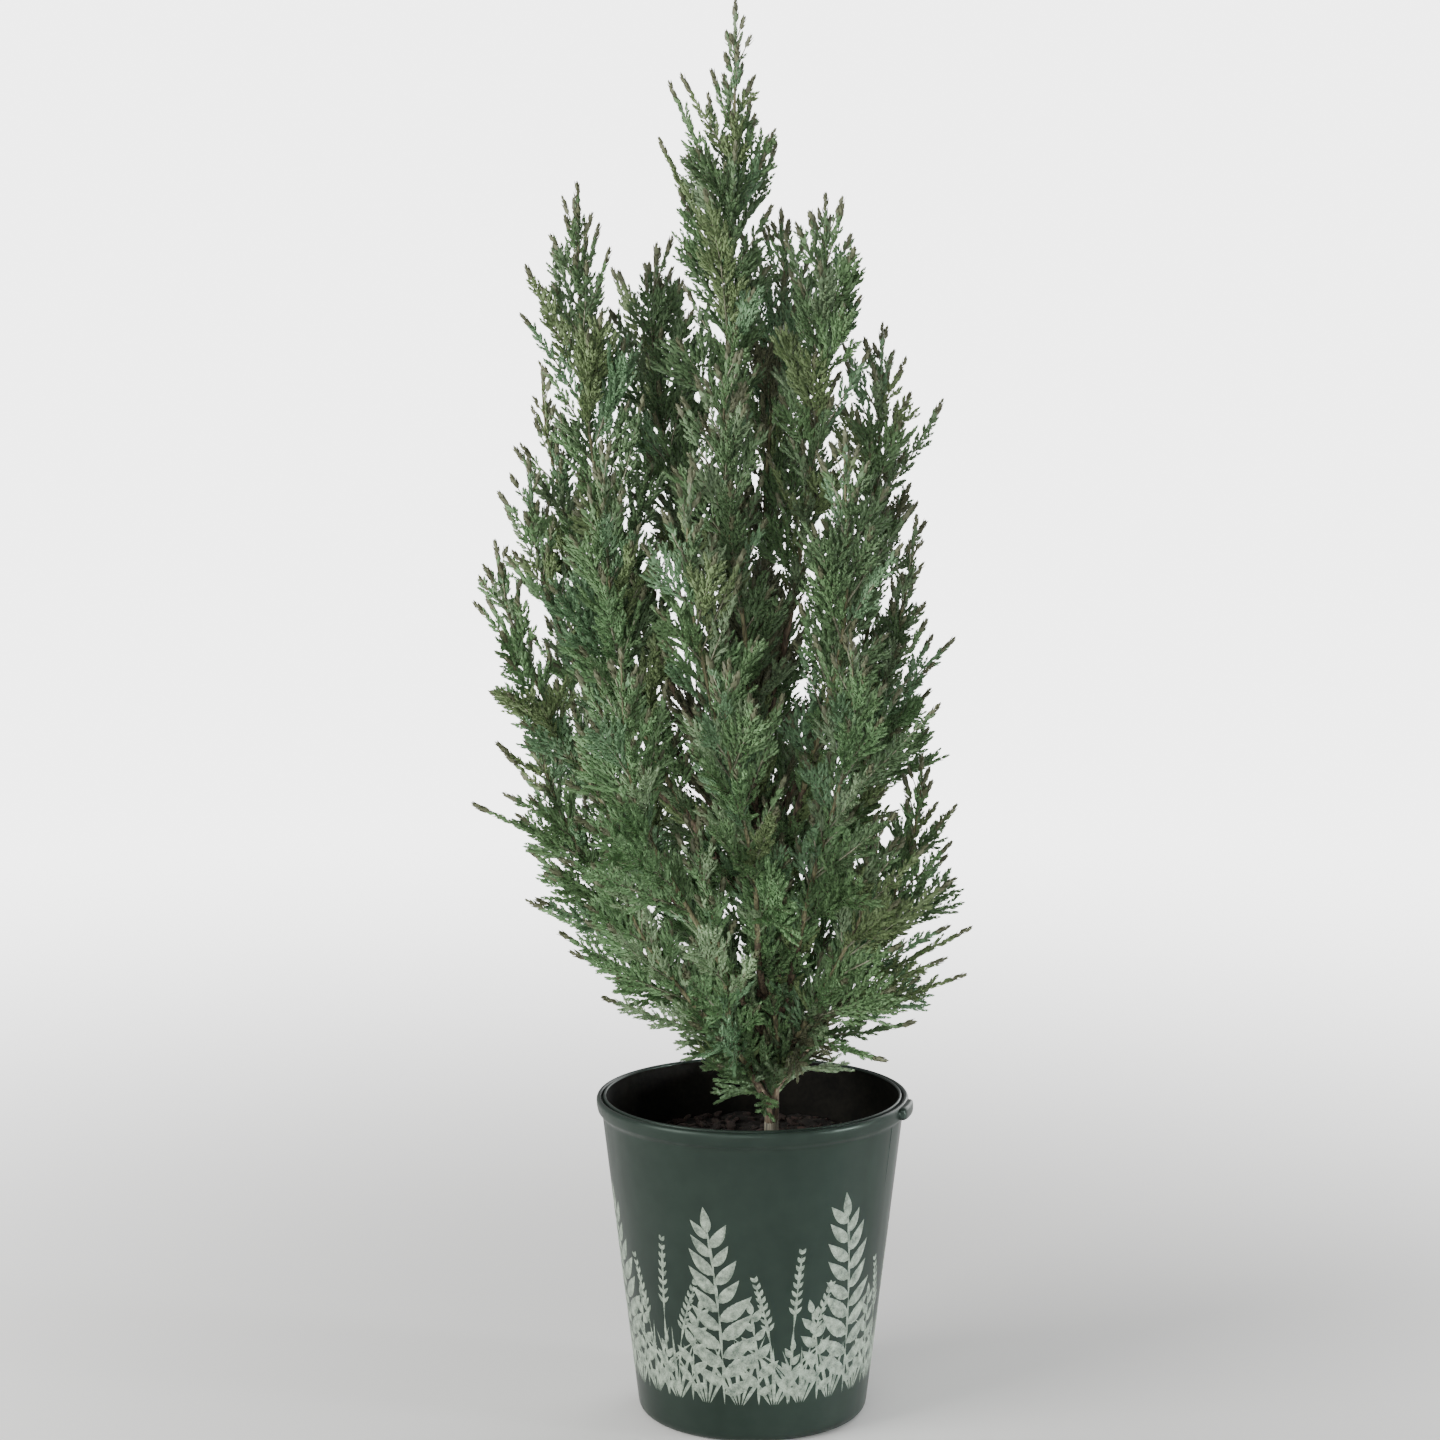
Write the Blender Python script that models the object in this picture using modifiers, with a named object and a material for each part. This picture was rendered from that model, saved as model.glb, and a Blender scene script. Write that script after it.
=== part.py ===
"""Potted juniper: a young upright juniper in a 19 cm plastic pot, 85 cm tall from the pot's foot to its leader.

Metres, +Z up. The origin is on the pot's axis, on its flat underside. The front of the plant faces -Y.
The plant is a trunk, steep boughs that leave it all round, and one flame-shaped mass of foliage on each bough.
Each mass grows by one rule: a stem, shoots that climb round it by the golden angle, and a flat toothed spray for
each shoot that fills the outline of the crown. A shoot that would leave its plume's own space is shortened or dropped.
"""

import math

import bmesh
import bpy
import numpy as np
from mathutils import Matrix, Vector

GAP = 0.0003

POT_HEIGHT = 0.198
POT_FOOT_RADIUS = 0.0695
POT_TAPER = 0.119
POT_WALL = 0.0017
POT_FLOOR = 0.003
POT_CORNER = 0.0065
LIP_RADIUS = 0.0952
LIP_HEIGHT = 0.0125
CREST_RADIUS = 0.0905
LUG_REACH = 0.0036
LUG_BEARING = -14.0
LUG_ARC = 22.0
POT_STEPS = 36

SOIL_TOP = 0.165
SOIL_FLAT_RADIUS = 0.03
SOIL_DISH = 0.0025

TRUNK_FOOT = (0.0115, 0.0)
TRUNK_TOP = 0.590
TRUNK_LEAN = -0.0290
TRUNK_BOW = 0.009
TRUNK_FOOT_RADIUS = 0.0041
TRUNK_TOP_RADIUS = 0.0024
FLARE = 0.0022
FLARE_HEIGHT = 0.011

BOUGH_RADIUS = 0.0027
BOUGH_TIP_RADIUS = 0.0019
STEM_RADIUS = 0.0018
STEM_TIP_RADIUS = 0.0008
SWAY = 0.006

# What each tier of plumes shares: how much of the limb is bare bough, how full the foliage is at its foot,
# and how long it stays full: the smaller this power, the more pointed the plume.
TIERS = {
    "leader": (0.0, 0.80, 0.76),
    "high": (0.22, 0.62, 1.9),
    "upper": (0.28, 0.70, 1.8),
    "middle": (0.25, 0.75, 2.0),
    "low": (0.13, 0.95, 1.8),
    "inner": (0.10, 1.0, 2.0),
}

# One row for each plume: name, where its bough leaves the trunk, bearing (0 right, 90 back, 180 left, 270 front),
# reach of its tip from the pot's axis, height of its tip, half its width, and how soon its limb turns upright.
PLUMES = (
    ("leader", TRUNK_TOP, 180, 0.010, 0.852, 0.080, 2.0),
    ("high_left", 0.370, 175, 0.104, 0.747, 0.058, 3.0),
    ("high_right", 0.410, 346, 0.044, 0.740, 0.056, 2.4),
    ("high_back_left", 0.420, 138, 0.078, 0.712, 0.066, 2.6),
    ("high_front", 0.340, 256, 0.058, 0.655, 0.055, 2.6),
    ("high_back_right", 0.430, 74, 0.062, 0.733, 0.058, 2.6),
    ("upper_right", 0.350, 8, 0.078, 0.664, 0.052, 2.4),
    ("upper_front_right", 0.310, 306, 0.090, 0.605, 0.050, 2.4),
    ("upper_front", 0.290, 249, 0.098, 0.585, 0.046, 2.4),
    ("upper_front_left", 0.300, 218, 0.110, 0.600, 0.048, 2.4),
    ("upper_left", 0.320, 184, 0.133, 0.586, 0.044, 2.2),
    ("upper_back_left", 0.335, 157, 0.139, 0.636, 0.040, 1.9),
    ("upper_back_right", 0.325, 33, 0.104, 0.607, 0.042, 1.9),
    ("middle_left", 0.250, 190, 0.154, 0.538, 0.049, 1.6),
    ("middle_front_left", 0.230, 238, 0.140, 0.485, 0.050, 1.9),
    ("middle_front", 0.248, 264, 0.126, 0.480, 0.050, 1.9),
    ("middle_front_right", 0.235, 300, 0.112, 0.490, 0.050, 1.9),
    ("middle_right", 0.265, 356, 0.098, 0.552, 0.033, 1.45),
    ("middle_back_right", 0.250, 36, 0.106, 0.495, 0.044, 1.8),
    ("middle_back", 0.263, 88, 0.124, 0.515, 0.050, 1.9),
    ("middle_back_left", 0.240, 150, 0.140, 0.490, 0.044, 1.9),
    ("low_left", 0.213, 178, 0.132, 0.440, 0.042, 1.8),
    ("low_front_left", 0.205, 214, 0.098, 0.380, 0.041, 1.95),
    ("low_front", 0.191, 250, 0.092, 0.385, 0.046, 2.1),
    ("low_front_right", 0.212, 322, 0.092, 0.380, 0.043, 1.95),
    ("low_right", 0.201, 5, 0.103, 0.405, 0.043, 2.05),
    ("low_back_right", 0.202, 60, 0.106, 0.370, 0.045, 1.9),
    ("low_back_left", 0.209, 118, 0.114, 0.375, 0.043, 1.9),
    ("inner_front", 0.180, 290, 0.038, 0.385, 0.042, 2.2),
)

# Shoots that stray out of the crown's outline: plume, share of its stem, and where the shoot ends.
STRAYS = (
    ("leader", 0.40, (-0.0545, 0.004, 0.7715)),
    ("leader", 0.54, (-0.048, -0.005, 0.803)),
    ("low_left", 0.78, (-0.154, -0.006, 0.415)),
    ("low_left", 0.56, (-0.165, -0.010, 0.377)),
    ("low_left", 0.20, (-0.134, 0.000, 0.348)),
    ("low_left", 0.03, (-0.122, -0.010, 0.302)),
    ("low_front_left", 0.03, (-0.088, -0.050, 0.268)),
    ("low_front_left", 0.01, (-0.046, -0.038, 0.212)),
    ("low_front", 0.01, (-0.020, -0.070, 0.232)),
    ("low_right", 0.22, (0.130, 0.008, 0.298)),
    ("low_right", 0.08, (0.124, 0.000, 0.270)),
    ("low_right", 0.02, (0.104, -0.006, 0.244)),
    ("low_front_right", 0.02, (0.080, -0.050, 0.230)),
)

SHOOTS_PER_METRE = 156
SHOOT_SLOPE = 46.0
SHOOT_SLOPE_FALL = 17.0
SHOOT_LIFT = 0.24
SHOOT_REACH = 1.68
SHORTEST_SHOOT = 0.012
SPIKE_EVERY = 3
SPIKE_REACH = 1.22
SPIKE_WIDTH = 0.34
BUSHY_REACH = 0.94
STRAY_ROLL = 0.3
STRAY_WIDTH = 0.36
GOLDEN_ANGLE = math.radians(137.5)
SEED = 41
LIMB_CLEARANCE = 0.0022
ROOM_MARGIN = 0.0013
RIM_REACH = 0.078
RIM_CLEARANCE = 0.003
SOIL_CLEARANCE = 0.008

SPRAY_COUNT = 180
FEWEST_SPRAYS = 5
FEW_BONUS = 60
CELL = 0.004
CELLS_ACROSS = 1000
VIEWS = 4
SHORT_SPRAY = 0.060
BLADE_WIDTH = 1.0
BLADE_NARROWING = 0.45
BLADE_NECK = 0.13
BLADE_RIDGE_END = 0.66
BLADE_TEETH_END = 0.80
BLADE_SINK = 0.0022
BLADE_THICKNESS = 0.0026
TIP_SHARE = 0.86
TIP_WIDTH = 0.34
FITS = (1.0, 0.85, 0.7, 0.55, 0.4)

for old in list(bpy.data.objects):
    bpy.data.objects.remove(old, do_unlink=True)


def collection(name):
    """A new collection in the scene."""
    made = bpy.data.collections.new(name)
    bpy.context.scene.collection.children.link(made)
    return made


PARTS = collection("potted_juniper")
GUIDES = collection("guides")


def material(name, color, roughness):
    """A Principled material with one colour."""
    made = bpy.data.materials.new(name)
    made.use_nodes = True
    shader = made.node_tree.nodes["Principled BSDF"]
    shader.inputs["Base Color"].default_value = (*color, 1.0)
    shader.inputs["Roughness"].default_value = roughness
    shader.inputs["Metallic"].default_value = 0.0
    return made


def new_object(name, mesh, home=PARTS, finish=None):
    """An object for a mesh, linked to a collection."""
    made = bpy.data.objects.new(name, mesh)
    home.objects.link(made)
    if finish:
        mesh.materials.clear()
        mesh.materials.append(finish)
    return made


def frozen(source, name):
    """The evaluated shape of a curve or modified object as a welded mesh; the source is removed."""
    graph = bpy.context.evaluated_depsgraph_get()
    mesh = bpy.data.meshes.new_from_object(source.evaluated_get(graph))
    mesh.name = name
    mesh.transform(source.matrix_world)
    bpy.data.objects.remove(source, do_unlink=True)
    shape = bmesh.new()
    shape.from_mesh(mesh)
    bmesh.ops.remove_doubles(shape, verts=shape.verts, dist=0.00002)
    shape.to_mesh(mesh)
    shape.free()
    return mesh


def turned(name, profile, finish):
    """A profile of (radius, height) points turned round the Z axis."""
    mesh = bpy.data.meshes.new(name)
    mesh.from_pydata([(r, 0.0, z) for r, z in profile], [(i, i + 1) for i in range(len(profile) - 1)], [])
    made = new_object(name, mesh, finish=finish)
    screw = made.modifiers.new("turn", "SCREW")
    screw.steps = POT_STEPS
    screw.render_steps = POT_STEPS
    screw.use_merge_vertices = True
    screw.merge_threshold = 0.00005
    screw.use_smooth_shade = True
    return made


def tube(name, points, radii, sides_step, home=PARTS):
    """A curve with a round bevel along the points, its radius given at each; capped at both ends."""
    curve = bpy.data.curves.new(name, "CURVE")
    curve.dimensions = "3D"
    curve.bevel_depth = 1.0
    curve.bevel_resolution = sides_step
    curve.render_resolution_u = 0
    curve.use_fill_caps = True
    spline = curve.splines.new("POLY")
    spline.points.add(len(points) - 1)
    for place, at, radius in zip(spline.points, points, radii):
        place.co = (*at, 1.0)
        place.radius = radius
    made = bpy.data.objects.new(name, curve)
    home.objects.link(made)
    return made


def pot_wall_radius(height):
    """Outer radius of the pot's wall at a height."""
    return POT_FOOT_RADIUS + POT_TAPER * height


def build_pot():
    """The pot: a turned shell with a wide rolled lip, and a lug on the lip at the right of the front."""
    finish = material("pot_plastic", (0.052, 0.075, 0.062), 0.42)
    lip_foot = POT_HEIGHT - LIP_HEIGHT
    inner_top = pot_wall_radius(lip_foot) - POT_WALL
    inner_foot = pot_wall_radius(POT_FLOOR) - POT_WALL
    profile = (
        (0.0, POT_FLOOR),
        (inner_foot - 0.004, POT_FLOOR),
        (inner_foot + 0.0003, POT_FLOOR + 0.004),
        (inner_top, lip_foot),
        (inner_top, POT_HEIGHT - 0.0015),
        (CREST_RADIUS, POT_HEIGHT),
        (LIP_RADIUS - 0.0016, POT_HEIGHT - 0.0012),
        (LIP_RADIUS, POT_HEIGHT - 0.0038),
        (LIP_RADIUS - 0.0003, lip_foot + 0.0018),
        (pot_wall_radius(lip_foot) + 0.0004, lip_foot),
        (pot_wall_radius(POT_CORNER), POT_CORNER),
        (POT_FOOT_RADIUS - 0.0019, 0.0016),
        (POT_FOOT_RADIUS - 0.0062, 0.0),
        (0.0, 0.0),
    )
    pot = turned("pot", profile, finish)
    lug = (
        (LIP_RADIUS - 0.0022, POT_HEIGHT - 0.0016),
        (LIP_RADIUS + LUG_REACH, POT_HEIGHT - 0.0016),
        (LIP_RADIUS + LUG_REACH - 0.0012, POT_HEIGHT - 0.0086),
        (LIP_RADIUS - 0.0022, POT_HEIGHT - 0.0074),
    )
    add_lug(pot, lug)
    return pot


def add_lug(pot, section):
    """Joins a short arc of a four-sided section to the pot's lip."""
    steps = 4
    angles = [math.radians(LUG_BEARING + LUG_ARC * (i / steps - 0.5)) for i in range(steps + 1)]
    points = [(r * math.cos(a), r * math.sin(a), z) for a in angles for r, z in section]
    faces = [(3, 2, 1, 0), tuple(range(4 * steps, 4 * steps + 4))]
    for i in range(steps):
        for j in range(4):
            a, b = 4 * i + j, 4 * i + (j + 1) % 4
            faces.append((a, b, b + 4, a + 4))
    mesh = bpy.data.meshes.new("lug")
    mesh.from_pydata(points, [], faces)
    outward(mesh)
    lug = new_object("lug", mesh, GUIDES)
    lug.display_type = "WIRE"
    lug.hide_render = True
    join = pot.modifiers.new("lug", "BOOLEAN")
    join.operation = "UNION"
    join.object = lug


def outward(mesh):
    """Turns a closed mesh's faces to point out."""
    shape = bmesh.new()
    shape.from_mesh(mesh)
    bmesh.ops.recalc_face_normals(shape, faces=shape.faces)
    shape.to_mesh(mesh)
    shape.free()


def build_soil():
    """The potting mix: a plug that fills the pot, its top level round the trunk and lower at the wall."""
    finish = material("soil", (0.018, 0.014, 0.011), 0.95)
    edge_height = SOIL_TOP - SOIL_DISH
    inset = POT_WALL + 1.6 * GAP
    profile = (
        (0.0, SOIL_TOP),
        (SOIL_FLAT_RADIUS, SOIL_TOP),
        (pot_wall_radius(edge_height) - inset, edge_height),
        (pot_wall_radius(POT_FLOOR + 0.005) - inset, POT_FLOOR + 0.005),
        (pot_wall_radius(POT_FLOOR) - inset - 0.0045, POT_FLOOR + GAP),
        (0.0, POT_FLOOR + GAP),
    )
    return turned("soil", profile, finish)


def trunk_point(height):
    """Centre of the trunk at a height: from the foot it bows to the right, then leans to the left."""
    share = (height - SOIL_TOP) / (TRUNK_TOP - SOIL_TOP)
    across = TRUNK_FOOT[0] + TRUNK_LEAN * share + TRUNK_BOW * np.sin(math.pi * share)
    return np.array([across, TRUNK_FOOT[1], height])


def trunk_radius(height):
    """Radius of the trunk at a height, with the flare above the soil."""
    share = (height - SOIL_TOP) / (TRUNK_TOP - SOIL_TOP)
    taper = TRUNK_FOOT_RADIUS + (TRUNK_TOP_RADIUS - TRUNK_FOOT_RADIUS) * share
    return taper + FLARE * math.exp(-(height - SOIL_TOP) / FLARE_HEIGHT)


def build_trunk(bark):
    """The trunk: one tapering tube from its flat cut on the soil to its tip inside the leader's foliage."""
    foot = SOIL_TOP + GAP
    heights = [foot, foot + 0.006, foot + 0.016, foot + 0.03, *np.linspace(foot + 0.09, TRUNK_TOP, 8)]
    points = [trunk_point(h) for h in heights]
    points[1][:2] = points[0][:2]
    trunk = tube("trunk", points, [trunk_radius(h) for h in heights], 2)
    new_object("trunk", frozen(trunk, "trunk"), finish=bark)


def plume_path(row):
    """A plume's limb from the trunk's axis to its tip, as 161 points: it leaves outward and turns upright."""
    name, start, bearing, reach, top, _, bend = row
    t = np.linspace(0.0, 1.0, 161)[:, None]
    angle = math.radians(bearing)
    foot = trunk_point(start)
    tip = np.array([reach * math.cos(angle), reach * math.sin(angle), top])
    outward_share = 1.0 - (1.0 - t) ** bend
    points = foot + (tip - foot) * np.hstack([outward_share, outward_share, t])
    side = np.array([-math.sin(angle), math.cos(angle), 0.0])
    phase = 1.7 * len(name) + start * 40.0
    return points + side * SWAY * np.sin(2.0 * math.pi * t + phase) * t * (1.0 - t) * 4.0


def unit(vector):
    """The vector at length one."""
    return vector / np.linalg.norm(vector)


def along(points, lengths, at):
    """The point at a length along a path."""
    return np.array([np.interp(at, lengths, points[:, i]) for i in range(3)]).T


class Plume:
    """The geometry of one plume: its bough, then the stem of its foliage, as points along one smooth limb."""

    def __init__(self, number, row):
        self.number = number
        self.name, self.half_width = row[0], row[5]
        bough_share, self.foot_fullness, self.fullness = TIERS[self.name.split("_")[0]]
        path = plume_path(row)
        steps = np.linalg.norm(np.diff(path, axis=0), axis=1)
        lengths = np.concatenate([[0.0], np.cumsum(steps)])
        self.whole = lengths[-1]
        first = self.clear_of_trunk(path, lengths)
        bough_end = first if self.name == "leader" else first + bough_share * (self.whole - first)
        self.bough = along(path, lengths, np.linspace(first, bough_end, 4))
        self.stem_start = GAP if self.name == "leader" else bough_end + GAP
        self.stem_length = self.whole - self.stem_start
        self.stem = along(path, lengths, np.linspace(self.stem_start, self.whole, 61))
        self.path, self.lengths = path, lengths

    def clear_of_trunk(self, path, lengths):
        """Length along the limb at which its cut end is one gap clear of the trunk's surface."""
        if self.name == "leader":
            return 0.0
        for length in np.arange(0.0, 0.06, 0.0001):
            point = along(path, lengths, length)
            rise = unit(along(path, lengths, length + 0.001) - point)[2]
            away = np.linalg.norm(point[:2] - trunk_point(point[2])[:2])
            if away > trunk_radius(point[2]) + BOUGH_RADIUS * rise + GAP:
                return length
        return lengths[-1]


ALL_PLUMES = [Plume(number, row) for number, row in enumerate(PLUMES)]


def limb_samples():
    """Points every few millimetres inside the trunk and the boughs, with the limb's radius at each."""
    heights = np.linspace(SOIL_TOP, TRUNK_TOP, 180)
    points = [trunk_point(h) for h in heights]
    radii = [trunk_radius(h) for h in heights]
    for plume in ALL_PLUMES[1:]:
        for a, b in zip(plume.bough[:-1], plume.bough[1:]):
            for share in np.linspace(0.0, 1.0, 8):
                points.append(a + (b - a) * share)
                radii.append(BOUGH_RADIUS)
    return np.array(points), np.array(radii)


LIMB_POINTS, LIMB_RADII = limb_samples()


def nearest(points, others):
    """Distance from each point to the nearest of the others."""
    return np.sqrt(((points[:, None, :] - others[None, :, :]) ** 2).sum(-1)).min(1)


def in_own_room(points, plume):
    """True where all points are nearer to the plume's own stem than to any other, and clear of limbs and pot."""
    own = nearest(points, plume.stem)
    rest = np.concatenate([other.stem[::2] for other in ALL_PLUMES if other is not plume])
    if (own + ROOM_MARGIN > nearest(points, rest)).any():
        return False
    to_limbs = np.sqrt(((points[:, None, :] - LIMB_POINTS[None, :, :]) ** 2).sum(-1)) - LIMB_RADII
    if (to_limbs < LIMB_CLEARANCE).any():
        return False
    from_axis = np.hypot(points[:, 0], points[:, 1])
    floor = np.where(from_axis > RIM_REACH, POT_HEIGHT + RIM_CLEARANCE, SOIL_TOP + SOIL_CLEARANCE)
    return bool((points[:, 2] > floor).all())


def across(direction):
    """Two unit vectors square to a direction and to each other."""
    helper = np.array([0.0, 0.0, 1.0]) if abs(direction[2]) < 0.9 else np.array([1.0, 0.0, 0.0])
    first = unit(np.cross(helper, direction))
    return first, np.cross(direction, first)


def shoot_envelope(share, foot_fullness, fullness):
    """Length of the shoots along a plume, largest a third of the way up, as a share of the longest."""
    swell = foot_fullness + (1.0 - foot_fullness) * math.sin(0.5 * math.pi * min(share / 0.3, 1.0))
    return swell * (1.0 - 0.97 * share**fullness)


def shoots(plume):
    """The plume's shoots by the seeded rule: (root, direction, length, roll, width share), from low to high."""
    count = round(plume.stem_length * SHOOTS_PER_METRE)
    draw = np.random.RandomState(SEED + plume.number)
    place, turn, length, lean, roll = draw.rand(5, count)
    made = []
    for k in range(count):
        share = 0.02 + 0.90 * (k + place[k]) / count
        at = plume.stem_start + share * plume.stem_length
        root = along(plume.path, plume.lengths, at)
        tangent = unit(along(plume.path, plume.lengths, at + 0.002) - along(plume.path, plume.lengths, at - 0.002))
        first, second = across(tangent)
        angle = k * GOLDEN_ANGLE + 0.9 * turn[k]
        out = math.cos(angle) * first + math.sin(angle) * second
        slope = math.radians(SHOOT_SLOPE - SHOOT_SLOPE_FALL * share + 10.0 * (lean[k] - 0.5))
        direction = unit(math.cos(slope) * tangent + math.sin(slope) * out + np.array([0.0, 0.0, SHOOT_LIFT]))
        long = plume.half_width * SHOOT_REACH * (0.82 + 0.34 * length[k])
        long *= shoot_envelope(share, plume.foot_fullness, plume.fullness)
        spike = k % SPIKE_EVERY == 1
        long *= SPIKE_REACH if spike else BUSHY_REACH
        width = SPIKE_WIDTH if spike else BLADE_WIDTH * (1.0 - BLADE_NARROWING * share)
        turn_about = math.radians(90.0 + 70.0 * (roll[k] - 0.5))
        made.append((root, direction, long, turn_about, width))
    return made


def strays(plume):
    """The plume's straying shoots, laid flat."""
    made = []
    for name, share, tip in STRAYS:
        if name == plume.name:
            root = along(plume.path, plume.lengths, plume.stem_start + share * plume.stem_length)
            way = np.array(tip) - root
            made.append((root, unit(way), np.linalg.norm(way), STRAY_ROLL, STRAY_WIDTH))
    return made


def toothed_blade(name, teeth):
    """A spray one long and two wide: a stalk that widens into a blade with rising teeth on both sides.

    The teeth on the left sit half a step higher than those on the right. The blade is thickest along its
    middle line, from the neck to two thirds of its length, and thins to its outline.
    """
    step = (BLADE_TEETH_END - BLADE_NECK) / (teeth + 0.5)
    sides = []
    for sign, shift in ((1.0, 0.0), (-1.0, 0.35)):
        side = [(sign * 0.10, BLADE_NECK + 0.02 * shift)]
        for i in range(teeth):
            foot = BLADE_NECK + step * (i + shift)
            climb = (i + shift) / teeth
            wide = 0.9 + 0.4 * climb - 1.2 * climb**2
            side.append((sign * wide, foot + 1.25 * step))
            side.append((sign * 0.30 * wide, foot + 1.30 * step))
        sides.append(side[:-1])
    right, left = sides
    outline = right + [(0.0, 1.0)] + left[::-1]
    points = [(0.0, 0.0, 0.0)] + [(x, y, 0.0) for x, y in outline]
    ridge = [(0.0, BLADE_NECK, 1.0), (0.0, BLADE_RIDGE_END, 0.8)]
    high = len(points)
    points += ridge + [(x, y, -z) for x, y, z in ridge]
    last = len(outline)
    nearer_end = [y > 0.5 * (BLADE_NECK + BLADE_RIDGE_END) for _, y in outline]
    faces = []
    for first_ridge, flip in ((high, False), (high + 2, True)):
        loop = []
        for i in range(1, last):
            at_end = nearer_end[i - 1] and nearer_end[i]
            loop.append((first_ridge + int(at_end), i, i + 1))
            if i > 1 and at_end != (nearer_end[i - 2] and nearer_end[i - 1]):
                loop.append((first_ridge, i, first_ridge + 1) if at_end else (first_ridge + 1, i, first_ridge))
        loop += [(first_ridge, 0, 1), (first_ridge, last, 0)]
        faces += [face[::-1] if flip else face for face in loop]
    mesh = bpy.data.meshes.new(name)
    mesh.from_pydata(points, [], faces)
    outward(mesh)
    return mesh


def placed(root, direction, roll, width, length, thickness):
    """Matrix that lays a unit piece with its length on a direction, turned about it, and scaled."""
    first, second = across(direction)
    side = math.cos(roll) * first + math.sin(roll) * second
    face = np.cross(side, direction)
    columns = Matrix((side * width, direction * length, face * thickness)).transposed()
    return Matrix.Translation(Vector(root)) @ columns.to_4x4()


def blade_points(root, direction, roll, length, width):
    """Points over a blade that stands on a stem: along its middle, its edges, and between them."""
    first, second = across(direction)
    side = math.cos(roll) * first + math.sin(roll) * second
    rise = np.linspace(0.22, 1.0, 11)[:, None]
    half = 0.5 * width * np.minimum(0.9, 2.6 * (1.0 - rise) + 0.02)
    middle = root + direction * length * rise
    return np.concatenate([middle + side * half * share for share in np.linspace(-1.0, 1.0, 7)])


def fitted(shoot, plume):
    """The shoot at the longest fit, in its own turn or a quarter turn on, that stays in the plume's room."""
    root, direction, length, roll, width = shoot
    for fit in FITS:
        for turn in (roll, roll + 0.5 * math.pi):
            reach = length * fit
            points = blade_points(root, direction, turn, reach, reach * width)
            if reach > SHORTEST_SHOOT and in_own_room(points, plume):
                return root, direction, reach, turn, width
    return root, direction, 0.0, roll, width


def seen_cells(shoot):
    """The cells of CELL a side that a blade covers in outlines taken from VIEWS bearings, as whole numbers."""
    root, direction, length, roll, width = shoot
    points = blade_points(root, direction, roll, length, length * width)
    rows = np.floor(points[:, 2] / CELL).astype(int)
    cells = []
    for view in range(VIEWS):
        bearing = math.pi * view / VIEWS
        side = points[:, 0] * math.cos(bearing) + points[:, 1] * math.sin(bearing)
        columns = np.floor(side / CELL).astype(int) + CELLS_ACROSS // 2
        cells.append((view * CELLS_ACROSS + columns) * CELLS_ACROSS + rows)
    return np.unique(np.concatenate(cells))


def kept_shoots():
    """For each plume the strays, and the shoots that fill most of the crown's outlines.

    The shoots are chosen one by one: each time the one whose blade covers the most cells that are still open,
    with a bonus for a plume that has fewer than FEWEST_SPRAYS.
    """
    kept = {plume.name: [] for plume in ALL_PLUMES}
    waiting = []
    covered = np.zeros(VIEWS * CELLS_ACROSS**2, dtype=bool)
    for plume in ALL_PLUMES:
        for stray in strays(plume):
            shoot = fitted(stray, plume)
            if shoot[2]:
                kept[plume.name].append(shoot)
                covered[seen_cells(shoot)] = True
        for grown in shoots(plume):
            shoot = fitted(grown, plume)
            if shoot[2]:
                waiting.append((plume.name, shoot, seen_cells(shoot)))
    gains = np.array([len(cells) + FEW_BONUS for _, _, cells in waiting])
    for _ in range(SPRAY_COUNT):
        while True:
            best = int(np.argmax(gains))
            name, shoot, cells = waiting[best]
            gain = int((~covered[cells]).sum()) + FEW_BONUS * (len(kept[name]) < FEWEST_SPRAYS)
            if gain >= gains[best]:
                break
            gains[best] = gain
        kept[name].append(shoot)
        covered[cells] = True
        gains[best] = -1
    return kept


def foliage_pieces(plume, kept, blades, home):
    """Places the plume's blades as objects in a collection: one on each kept shoot and one at the stem's tip."""
    tip_root = along(plume.path, plume.lengths, plume.stem_start + TIP_SHARE * plume.stem_length)
    tip_way = plume.path[-1] - tip_root
    pieces = kept + [(tip_root, unit(tip_way), np.linalg.norm(tip_way), 0.0, TIP_WIDTH)]
    for root, direction, length, roll, width in pieces:
        mesh = blades[0] if length < SHORT_SPRAY else blades[1]
        sunk = root - direction * BLADE_SINK
        half_width, long = 0.5 * length * width, length + BLADE_SINK
        matrix = placed(sunk, direction, roll, half_width, long, BLADE_THICKNESS * 0.5)
        new_object("spray", mesh, home).matrix_world = matrix


def largest_body(mesh):
    """Keeps the largest joined piece of a mesh and drops loose scraps."""
    shape = bmesh.new()
    shape.from_mesh(mesh)
    left = set(shape.verts)
    groups = []
    while left:
        group, edge = set(), [left.pop()]
        while edge:
            vertex = edge.pop()
            group.add(vertex)
            for link in vertex.link_edges:
                other = link.other_vert(vertex)
                if other in left:
                    left.discard(other)
                    edge.append(other)
        groups.append(group)
    groups.sort(key=len)
    for group in groups[:-1]:
        bmesh.ops.delete(shape, geom=list(group), context="VERTS")
    bmesh.ops.triangulate(shape, faces=shape.faces)
    shape.to_mesh(mesh)
    shape.free()


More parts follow.
